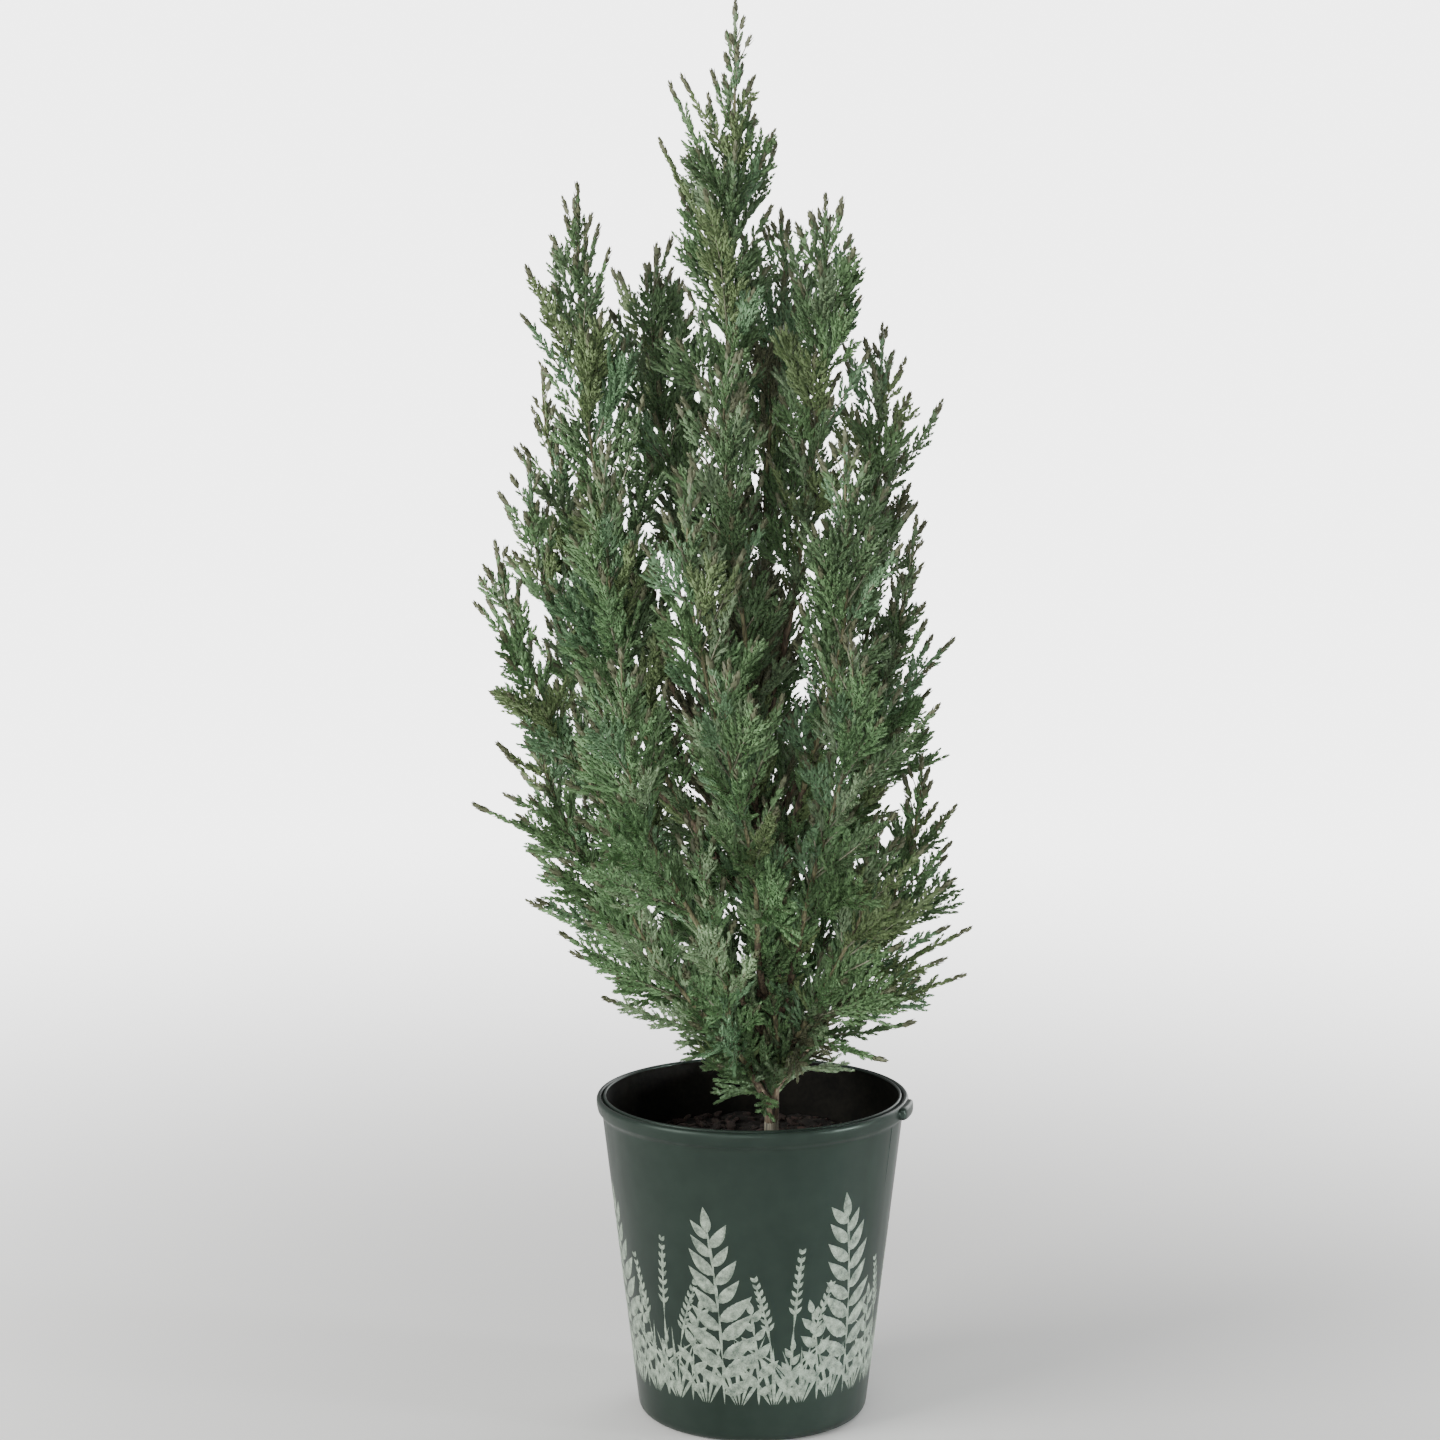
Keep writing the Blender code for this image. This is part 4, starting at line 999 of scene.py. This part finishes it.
def shoots(plume):
    """The plume's shoots by the seeded rule, from low to high: roots, directions, lengths, rolls and width
    shares."""
    count = round(plume.stem_length * SHOOTS_PER_METRE)
    draw = np.random.RandomState(SEED + plume.number)
    place, turn, length, lean, roll = draw.rand(5, count)
    k = np.arange(count)
    share = FIRST_SHOOT + SHOOT_RANGE * (k + place) / count
    at = plume.stem_start + share * plume.stem_length
    tangent = unit(plume.at(at + 0.002) - plume.at(at - 0.002))
    first, second = across(tangent)
    angle = (k * GOLDEN_ANGLE + SHOOT_TURN * turn)[:, None]
    out = np.cos(angle) * first + np.sin(angle) * second
    slope = np.radians(SHOOT_SLOPE - SHOOT_SLOPE_FALL * share + SHOOT_SLOPE_SCATTER * (lean - 0.5))[:, None]
    direction = unit(np.cos(slope) * tangent + np.sin(slope) * out + np.array([0.0, 0.0, SHOOT_LIFT]))
    long = plume.half_width * SHOOT_REACH * (SHOOT_SIZES[0] + SHOOT_SIZES[1] * length)
    spike = k % SPIKE_EVERY == 1
    long = long * shoot_envelope(share, plume.foot_fullness, plume.fullness)
    long = long * np.where(spike, SPIKE_REACH, BUSHY_REACH)
    roots, rolls = plume.at(at), np.radians(90.0 + SHOOT_ROLL * (roll - 0.5))
    widths = np.where(spike, SPIKE_WIDTH, 1.0 - BLADE_NARROWING * share)
    for name, share, tip in STRAYS:
        if name == plume.name:
            root = plume.at(plume.stem_start + share * plume.stem_length)
            way = np.array(tip) - root
            roots, direction = np.vstack([roots, root]), np.vstack([direction, unit(way)])
            long, rolls = np.append(long, np.linalg.norm(way)), np.append(rolls, STRAY_ROLL)
            widths = np.append(widths, STRAY_WIDTH)
    return roots, direction, long, rolls, widths


def blade_points(root, direction, roll, length, width):
    """Points over the flat outline that a shoot's branchlets fill, pointed at its tip.

    Its half width is width / 2 x the smaller of 0.9 and 2.6 (1 - rise) + 0.02, the rise going from root to
    tip."""
    first, second = across(direction)
    side = math.cos(roll) * first + math.sin(roll) * second
    rise = np.linspace(BLADE_FOOT, 1.0, BLADE_ROWS)[:, None]
    half = 0.5 * width * np.minimum(BLADE_FULLEST, BLADE_TAPER[0] * (1.0 - rise) + BLADE_TAPER[1])
    middle = root + direction * length * rise
    return np.concatenate([middle + side * half * share for share in np.linspace(-1.0, 1.0, BLADE_COLUMNS)])


def fitted(root, direction, length, roll, width, plume):
    """The shoot's length and roll that keep it in its own room: (0, roll) where none of the tries does."""
    for fit in FITS:
        for turn in (roll, roll + 0.5 * math.pi):
            reach = length * fit
            blade = blade_points(root, direction, turn, reach, reach * width)
            if reach > SHORTEST_SHOOT and in_own_room(blade, plume).all():
                return reach, turn
    return 0.0, roll


class Twigs:
    """Many twigs at once: start + length x (direction x t + bend x t^2), with the spray and the order of
    each."""

    def __init__(self, start, direction, length, bend, roll, width, spray, order):
        self.start, self.direction, self.length, self.bend = start, direction, length, bend
        self.roll, self.width, self.spray, self.order = roll, width, spray, order

    def at(self, t):
        """The points at the shares t along the twigs."""
        return self.start + self.length[:, None] * (self.direction * t[:, None] + self.bend * t[:, None] ** 2)

    def tangent(self, t):
        """The directions at the shares t along the twigs."""
        return unit(self.direction + 2.0 * self.bend * t[:, None])

    def pick(self, index):
        """The twigs with these numbers."""
        return Twigs(*[value[index] for value in vars(self).values()])

    @staticmethod
    def joined(groups):
        """Several groups of twigs as one."""
        return Twigs(*[np.concatenate([vars(group)[key] for group in groups]) for key in vars(groups[0])])


# Side twigs: their places as shares of the parent, how they stand (slopes in degrees), their sizes (the
# least, and the random part) and their bends.
FIRST_TWIG = 0.07
TWIG_LIFT = 0.16
TWIG_SLOPE_SCATTER = 14.0
TWIG_FALL = (1.35, 0.12)
TWIG_SIZES = (0.50, 0.75)
TWIG_BEND = 0.16
TWIG_SWAY = 0.10
TWIG_ROLL = 1.2
CUT_SHORT = 0.6
BRANCHLET_SPACING = 0.0040
BRANCHLET_REACH = 0.66
BRANCHLET_SLOPES = (38.0, 28.0)
BRANCHLET_SPREAD = 1.5
BRANCHLETS_UNTIL = 0.86
SHORTEST_BRANCHLET = 0.0045
FINGER_SPACING = 0.0062
FINGER_REACH = 0.52
FINGER_SLOPES = (28.0, 28.0)
FINGER_SPREAD = 2.2
FINGERS_UNTIL = 0.66
INNER_FINGERS_UNTIL = 0.80
SHORTEST_FINGER = 0.0035


def side_twigs(parents, spacing, reach, slopes, spread, shortest, until, plume, draw):
    """Side twigs on their parents: places spread evenly with a random part, to the left and right by turns.

    A twig's length is reach x parent's length x width x the smaller of 1 and 1.35 (1 - t) + 0.12, times a
    random part; its slope goes from the first to the second of the slopes along the parent. One that leaves
    the room is cut to 0.6 of its length, and left out if that doesn't help."""
    count = np.maximum(np.floor(parents.length / spacing + draw.rand(len(parents.length))).astype(int), 0)
    owner = np.repeat(np.arange(len(count)), count)
    step = np.arange(len(owner)) - np.repeat(np.cumsum(count) - count, count)
    parent = parents.pick(owner)
    place, turn, size, lean, sway = draw.rand(5, len(owner))
    t = FIRST_TWIG + (until - FIRST_TWIG) * (step + place) / count[owner]
    sign = np.where(step % 2 == 0, 1.0, -1.0)
    tangent = parent.tangent(t)
    first, second = across(parent.direction)
    angle = parent.roll + spread * (turn - 0.5)
    out = sign[:, None] * (np.cos(angle)[:, None] * first + np.sin(angle)[:, None] * second)
    slope = np.radians(slopes[0] + (slopes[1] - slopes[0]) * t + TWIG_SLOPE_SCATTER * (lean - 0.5))[:, None]
    direction = unit(np.cos(slope) * tangent + np.sin(slope) * out + np.array([0.0, 0.0, TWIG_LIFT]))
    length = reach * parent.length * parent.width * np.minimum(1.0, TWIG_FALL[0] * (1.0 - t) + TWIG_FALL[1])
    length = length * (TWIG_SIZES[0] + TWIG_SIZES[1] * size)
    bend = TWIG_BEND * (tangent - direction * (tangent * direction).sum(-1, keepdims=True))
    bend += TWIG_SWAY * (sway[:, None] - 0.5) * np.cross(direction, out)
    roll = angle + TWIG_ROLL * (sway - 0.5)
    width = np.ones(len(owner))
    made = Twigs(parent.at(t), direction, length, bend, roll, width, parent.spray, parent.order + 1)
    tips = in_own_room(made.at(np.full(len(owner), 1.0)), plume, TWIG_MARGIN)
    inside = tips & in_own_room(made.at(np.full(len(owner), CUT_SHORT)), plume, TWIG_MARGIN)
    made.length = np.where(inside, made.length, CUT_SHORT * made.length)
    inside |= in_own_room(made.at(np.full(len(owner), 1.0)), plume, TWIG_MARGIN)
    return made.pick(np.flatnonzero(inside & (made.length > shortest)))


def fingers_on(parents, until, plume, draw):
    """The finest twigs, on branchlets."""
    return side_twigs(
        parents, FINGER_SPACING, FINGER_REACH, FINGER_SLOPES, FINGER_SPREAD, SHORTEST_FINGER, until, plume,
        draw,
    )


# Short twigs that clothe the stems, and the trunk and boughs inside the crown.
CLOTHING_SPACING = 0.0042
CLOTHING_REACH = 0.019
CLOTHING_SLOPES = (44.0, 16.0)
CLOTHING_SLOPE_FALL = 16.0
CLOTHING_LIFT = 0.15
CLOTHING_FALL = 0.45
CLOTHING_SIZES = (0.35, 0.95)
CLOTHING_BEND = 0.14
CLOTHING_SPRAYS = 8
TIP_THINNING = 0.40
CLOTHED_UNTIL = 0.89


def limb_twigs(limb, start, end, spacing, reach, slopes, first_spray, draw, thinning=0.0):
    """Short twigs that clothe a limb between two lengths, turned round it at random and sloping up with it.

    A twig's length is reach x (1 - 0.45 share - thinning x share^6) along the limb, times a random part."""
    count = int((end - start) / spacing)
    place, turn, size, lean, roll = draw.rand(5, count)
    share = (np.arange(count) + place) / max(count, 1)
    at = start + share * (end - start)
    tangent = unit(limb(at + 0.002) - limb(at - 0.002))
    first, second = across(tangent)
    angle = 2.0 * np.pi * turn[:, None]
    out = np.cos(angle) * first + np.sin(angle) * second
    slope = np.radians(slopes[0] - CLOTHING_SLOPE_FALL * share + slopes[1] * (lean - 0.5))[:, None]
    direction = unit(np.cos(slope) * tangent + np.sin(slope) * out + np.array([0.0, 0.0, CLOTHING_LIFT]))
    length = reach * (1.0 - CLOTHING_FALL * share - thinning * share**6)
    length = length * (CLOTHING_SIZES[0] + CLOTHING_SIZES[1] * size)
    bend = CLOTHING_BEND * (tangent - direction)
    spray = first_spray + (CLOTHING_SPRAYS * share).astype(int)
    return Twigs(limb(at), direction, length, bend, 2.0 * np.pi * roll, np.ones(count), spray, np.ones(count))


# The bare spire at a plume's top, with a few short spikes round its foot.
TOP_LENGTH = 0.045
TOP_SPACING = 0.0080
TOP_REACH = 0.50
TOP_SLOPES = (34.0, 24.0)
TOP_UNTIL = 0.34
TOP_WIDTH = 0.5


def grown(plume, first_spray):
    """All the twigs of a plume: its shoots, their branchlets and fingers, and the fingers round its stem's
    top."""
    roots, directions, lengths, rolls, widths = shoots(plume)
    draw = np.random.RandomState(SEED + 100 + plume.number)
    reaches = np.zeros(len(lengths))
    for k in range(len(lengths)):
        reaches[k], rolls[k] = fitted(roots[k], directions[k], lengths[k], rolls[k], widths[k], plume)
    up = np.array([0.0, 0.0, 1.0])
    bend = SHOOT_BEND * (up - directions * directions[:, 2:])
    bend = bend + SHOOT_BEND * draw.normal(size=directions.shape)
    spray = first_spray + np.arange(len(rolls))
    main = Twigs(roots, unit(directions - bend), reaches, bend, rolls, widths, spray, np.zeros(len(rolls)))
    main = main.pick(np.flatnonzero(reaches > 0.0))
    branchlets = side_twigs(
        main, BRANCHLET_SPACING, BRANCHLET_REACH, BRANCHLET_SLOPES, BRANCHLET_SPREAD, SHORTEST_BRANCHLET,
        BRANCHLETS_UNTIL, plume, draw,
    )
    stem_end = plume.stem_start + CLOTHED_UNTIL * plume.stem_length
    clothing = limb_twigs(
        plume.at, plume.stem_start, stem_end, CLOTHING_SPACING, CLOTHING_REACH, CLOTHING_SLOPES,
        first_spray + len(rolls) + 1, draw, TIP_THINNING,
    )
    clothing = clothing.pick(np.flatnonzero(in_own_room(clothing.at(np.ones(len(clothing.length))), plume)))
    branchlets = Twigs.joined([branchlets, clothing])
    fingers = fingers_on(branchlets, FINGERS_UNTIL, plume, draw)
    top_start = plume.at(plume.whole - TOP_LENGTH)
    top_way = plume.at(plume.whole) - top_start
    top = Twigs(
        top_start[None], unit(top_way)[None], np.array([np.linalg.norm(top_way)]), np.zeros((1, 3)),
        np.zeros(1), np.array([TOP_WIDTH]), np.array([first_spray + len(rolls)]), np.zeros(1),
    )
    spikes = side_twigs(
        top, TOP_SPACING, TOP_REACH, TOP_SLOPES, 2.0 * math.pi, SHORTEST_FINGER, TOP_UNTIL, plume, draw
    )
    return [main, top, branchlets, spikes, fingers], first_spray + len(rolls) + 1 + CLOTHING_SPRAYS


all_twigs, spray_count = [], 0
for plume in ALL_PLUMES:
    groups, spray_count = grown(plume, spray_count)
    all_twigs += groups

# Inside the crown: a dense skirt of drooping twigs round the trunk's foot and the low boughs, and sparser
# twigs further up. The low boughs' spacing and reach, and the trunk's reach, are shares of the others'.
TRUNK_CLOTHED_FROM = 0.188
SKIRT_TOP = 0.262
SKIRT_SPACING = 0.0007
SKIRT_REACH = 0.046
DROOPING_SLOPES = (63.0, 54.0)
INNER_SPACING = 0.0024
INNER_REACH = 0.036
INNER_FROM = 0.18
INNER_PAST = 0.01
TRUNK_INNER_REACH = 1.4
LOW_INNER_PAST = 0.03
LOW_INNER_SPACING = 0.6
LOW_INNER_REACH = 1.1
inner_draw = np.random.RandomState(SEED + 300)
first_inner_spray = spray_count
clothed = [(trunk_point, TRUNK_CLOTHED_FROM, SKIRT_TOP, SKIRT_SPACING, SKIRT_REACH, DROOPING_SLOPES)]
trunk_reach = TRUNK_INNER_REACH * INNER_REACH
clothed += [(trunk_point, SKIRT_TOP, TRUNK_TOP, INNER_SPACING, trunk_reach, CLOTHING_SLOPES)]
for plume in ALL_PLUMES[1:]:
    start, past, spacing, reach, slopes = INNER_FROM, INNER_PAST, INNER_SPACING, INNER_REACH, CLOTHING_SLOPES
    if plume.name.startswith("low"):
        past, slopes = LOW_INNER_PAST, DROOPING_SLOPES
        spacing, reach = LOW_INNER_SPACING * spacing, LOW_INNER_REACH * reach
    start = plume.first + start * (plume.bough_end - plume.first)
    clothed.append((plume.at, start, plume.bough_end + past, spacing, reach, slopes))
for limb, start, end, spacing, reach, slopes in clothed:
    inner = limb_twigs(limb, start, end, spacing, reach, slopes, spray_count, inner_draw)
    inner = inner.pick(np.flatnonzero(clear_of_limbs(inner.at(np.ones(len(inner.length))))))
    if len(inner.length):
        all_twigs += [inner, fingers_on(inner, INNER_FINGERS_UNTIL, None, inner_draw)]
    spray_count += CLOTHING_SPRAYS
twigs = Twigs.joined(all_twigs)

# Shoots and branchlets are three-sided tubes, thicker where they are longer. The fingers are hidden in
# their leaves.
TWIG_RADIUS = 0.00055
TWIG_TIP_RADIUS = 0.00022
LONG_TWIG = 0.020
TWIG_THICKNESS = (0.6, 0.35)
THICKEST_TWIG = 1.3
TWIG_ROWS, TWIG_AROUND = 3, 3
wooded = twigs.pick(np.flatnonzero(twigs.order < 1.5))
thickness = np.minimum(THICKEST_TWIG, TWIG_THICKNESS[0] + TWIG_THICKNESS[1] * wooded.length / LONG_TWIG)
twig_first, twig_second = across(wooded.direction)
ring_turn = (2.0 * np.pi * np.arange(TWIG_AROUND) / TWIG_AROUND)[None, :, None]
ring = np.cos(ring_turn) * twig_first[:, None, :] + np.sin(ring_turn) * twig_second[:, None, :]
twig_rings = []
for share in np.linspace(0.0, 1.0, TWIG_ROWS):
    centre = wooded.at(np.full(len(wooded.length), share))
    radius = (TWIG_RADIUS + (TWIG_TIP_RADIUS - TWIG_RADIUS) * share) * thickness
    twig_rings.append(centre[:, None, :] + radius[:, None, None] * ring)
twig_points = np.stack(twig_rings, axis=1).reshape(-1, 3)
twig_offset = TWIG_ROWS * TWIG_AROUND * np.arange(len(wooded.length))[:, None, None]
twig_faces = turned_faces(TWIG_ROWS, TWIG_AROUND)
twig_sides = (twig_faces[None] + twig_offset).reshape(-1, 4)
twig_ends = [(cap[None] + twig_offset).reshape(-1, TWIG_AROUND) for cap in tube_caps(TWIG_ROWS, TWIG_AROUND)]
twig_mesh = solid("twigs", twig_points, [twig_sides, *twig_ends])
green_twig = mottled("green_twig", (0.060, 0.070, 0.038), (0.17, 0.18, 0.105), 300.0, 0.8, 0.0001)
twig_mesh.data.materials.append(green_twig)
pale_twig = mottled("pale_twig", (0.17, 0.17, 0.115), (0.42, 0.43, 0.31), 260.0, 0.7, 0.0001)
twig_mesh.data.materials.append(pale_twig)
pale = wooded.order < 0.5
pale_faces = np.concatenate([np.repeat(pale, len(twig_faces)), pale, pale])
twig_mesh.data.polygons.foreach_set("material_index", pale_faces.astype(np.int32))
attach(twig_mesh, "root")

# Leaves: scale leaves in whorls of three round every twig, each a small pointed blade folded along its
# middle, close to the twig and standing off at its tip. They are a little larger than life. Each spray has
# one of eight colours, and the tips of the shoots are brown and a little swollen.
WHORL = 3
WHORL_SPACING = 0.0028
LEAF_LENGTH = 0.0042
LEAF_WIDTH = 0.0021
LEAF_STAND = 0.0015
LEAF_LIFT = 0.00035
LEAF_SIZES = (0.85, 0.3)
STAND_SIZES = (0.7, 0.6)
LEAF_FULLEST = 0.38
FULLEST_STAND = 0.45
TIP_TAPER = 0.35
TIP_TAPER_LENGTH = 0.002
# Where the leaves start, as shares of a shoot, a branchlet and a finger, and of the slender shoots.
LEAVES_FROM = (0.30, 0.08, 0.10)
SLENDER = 0.35
SPIKE_BARE = 0.55
TIP_SWELL = 0.45
TIP_SWELL_AT = 0.007
TIP_SWELL_LENGTH = 0.010
BROWN_TIP = 0.011
# The leaves' colours from the lightest sprays to the darkest, each with its share of the sprays.
TINTS = {
    "pale": ((138, 154, 124), 0.03),
    "fresh": ((105, 130, 94), 0.14),
    "blue": ((102, 126, 98), 0.15),
    "green": ((98, 120, 86), 0.21),
    "grey": ((112, 126, 100), 0.10),
    "olive": ((106, 118, 84), 0.13),
    "deep": ((86, 104, 76), 0.18),
    "brown": ((93, 92, 74), 0.06),
}
TINT_GAIN = (1.09, 1.225, 1.125)
LEAF_MOTTLE = (0.75, 1.2)
# How much darker the sprays inside the crown are ranked, so that they take the darker tints: painted shade.
INNER_PAINTED_SHADE = 0.35
# The mood's size, seed and weight are set so that it gives the top, middle and right of the crown darker
# tints and its low and left parts lighter ones: painted shade and painted light, over a tone that differs at
# random from spray to spray.
MOOD_SCALE = 14.0
MOOD_SEED = 48
MOOD_WEIGHT = 0.5
CHANCE_WEIGHT = 0.6

leaf_from = np.array(LEAVES_FROM)[np.minimum(twigs.order.astype(int), 2)]
leaf_from = np.where((twigs.order < 0.5) & (twigs.width < SLENDER), SPIKE_BARE, leaf_from)
whorls = np.maximum(np.round(twigs.length * (1.0 - leaf_from) / WHORL_SPACING).astype(int), 1)
whorl_owner = np.repeat(np.arange(len(whorls)), whorls)
whorl_step = np.arange(len(whorl_owner)) - np.repeat(np.cumsum(whorls) - whorls, whorls)
bearer = twigs.pick(whorl_owner)
to_tip = (whorls[whorl_owner] - 1 - whorl_step) * WHORL_SPACING
whorl_share = np.clip(1.0 - (to_tip + 0.6 * LEAF_LENGTH) / bearer.length, 0.0, 1.0)
leaf_draw = np.random.RandomState(SEED + 500)
taper = 1.0 - TIP_TAPER * np.exp(-to_tip / TIP_TAPER_LENGTH)
swell = 1.0 + TIP_SWELL * (bearer.order < 0.5) * np.exp(-(((to_tip - TIP_SWELL_AT) / TIP_SWELL_LENGTH) ** 2))
leaf_size = taper * swell * (LEAF_SIZES[0] + LEAF_SIZES[1] * leaf_draw.rand(len(whorl_owner)))
whorl_centre = bearer.at(whorl_share)
whorl_way = bearer.tangent(whorl_share)
whorl_first, whorl_second = across(whorl_way)
whorl_turn = whorl_step * math.pi / WHORL + bearer.roll * 7.0 + 0.5 * leaf_draw.rand(len(whorl_owner))
leaf_corners = []
for k in range(WHORL):
    turn = (whorl_turn + k * 2.0 * math.pi / WHORL)[:, None]
    out = np.cos(turn) * whorl_first + np.sin(turn) * whorl_second
    side = np.cross(whorl_way, out)
    size = leaf_size[:, None] * (LEAF_SIZES[0] + LEAF_SIZES[1] * leaf_draw.rand(len(whorl_owner), 1))
    stand = STAND_SIZES[0] + STAND_SIZES[1] * leaf_draw.rand(len(whorl_owner), 1)
    stand = LEAF_STAND * (taper**2 * swell)[:, None] * stand
    foot = whorl_centre + LEAF_LIFT * out
    tip = whorl_centre + LEAF_LENGTH * size * whorl_way + stand * out
    middle = whorl_centre + LEAF_FULLEST * LEAF_LENGTH * size * whorl_way + FULLEST_STAND * stand * out
    left, right = middle - 0.5 * LEAF_WIDTH * size * side, middle + 0.5 * LEAF_WIDTH * size * side
    leaf_corners.append(np.stack([foot + LEAF_LIFT * out, left, tip, right], axis=1))
leaf_points = np.concatenate(leaf_corners, axis=1).reshape(-1, 4, 3)
tip_spray = (bearer.order < 0.5) & (to_tip < BROWN_TIP)
leaf_spray = np.repeat(np.where(tip_spray, spray_count, bearer.spray), WHORL).astype(int)

# Sprays are ranked by a mood that changes slowly through the crown, by chance, and by painted shade that
# pushes the sprays inside the crown to the darker tints, and tinted by rank. The brown tips count as one
# spray more, of the last tint.
spray_draw = np.random.RandomState(SEED + 600)
spray_place = np.zeros((spray_count, 3))
spray_place[twigs.spray.astype(int)] = twigs.at(np.full(len(twigs.length), 0.5))
# The mood carries painted light and shade through the crown as well as random tone.
mood = 0.5 + 0.5 * rough(spray_place, MOOD_SCALE, MOOD_SEED, 2)
shade = INNER_PAINTED_SHADE * (np.arange(spray_count) >= first_inner_spray)
gloom = MOOD_WEIGHT * mood + CHANCE_WEIGHT * spray_draw.rand(spray_count) + shade
rank = np.argsort(np.argsort(gloom)) / spray_count
limits = np.cumsum([tint_share for _, tint_share in TINTS.values()])
spray_tint = np.append(np.searchsorted(limits, rank, side="right"), len(TINTS) - 1)
for number, (name, (tint, _)) in enumerate(TINTS.items()):
    chosen = leaf_points[spray_tint[leaf_spray] == number]
    corners = 4 * np.arange(len(chosen))[:, None]
    halves = np.concatenate([corners + np.array([[0, 2, 1]]), corners + np.array([[0, 3, 2]])])
    leaves = solid("leaves_" + name, chosen.reshape(-1, 3), halves, smooth=False)
    color = (np.array(tint) / 255.0) ** 2.2 * np.array(TINT_GAIN)
    low, high = tuple(LEAF_MOTTLE[0] * color), tuple(LEAF_MOTTLE[1] * color)
    leaves.data.materials.append(mottled("leaf_" + name, low, high, 180.0, 0.55, 0.0001))
    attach(leaves, "root")
    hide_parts(*["foliage_" + plume.name for plume in ALL_PLUMES])
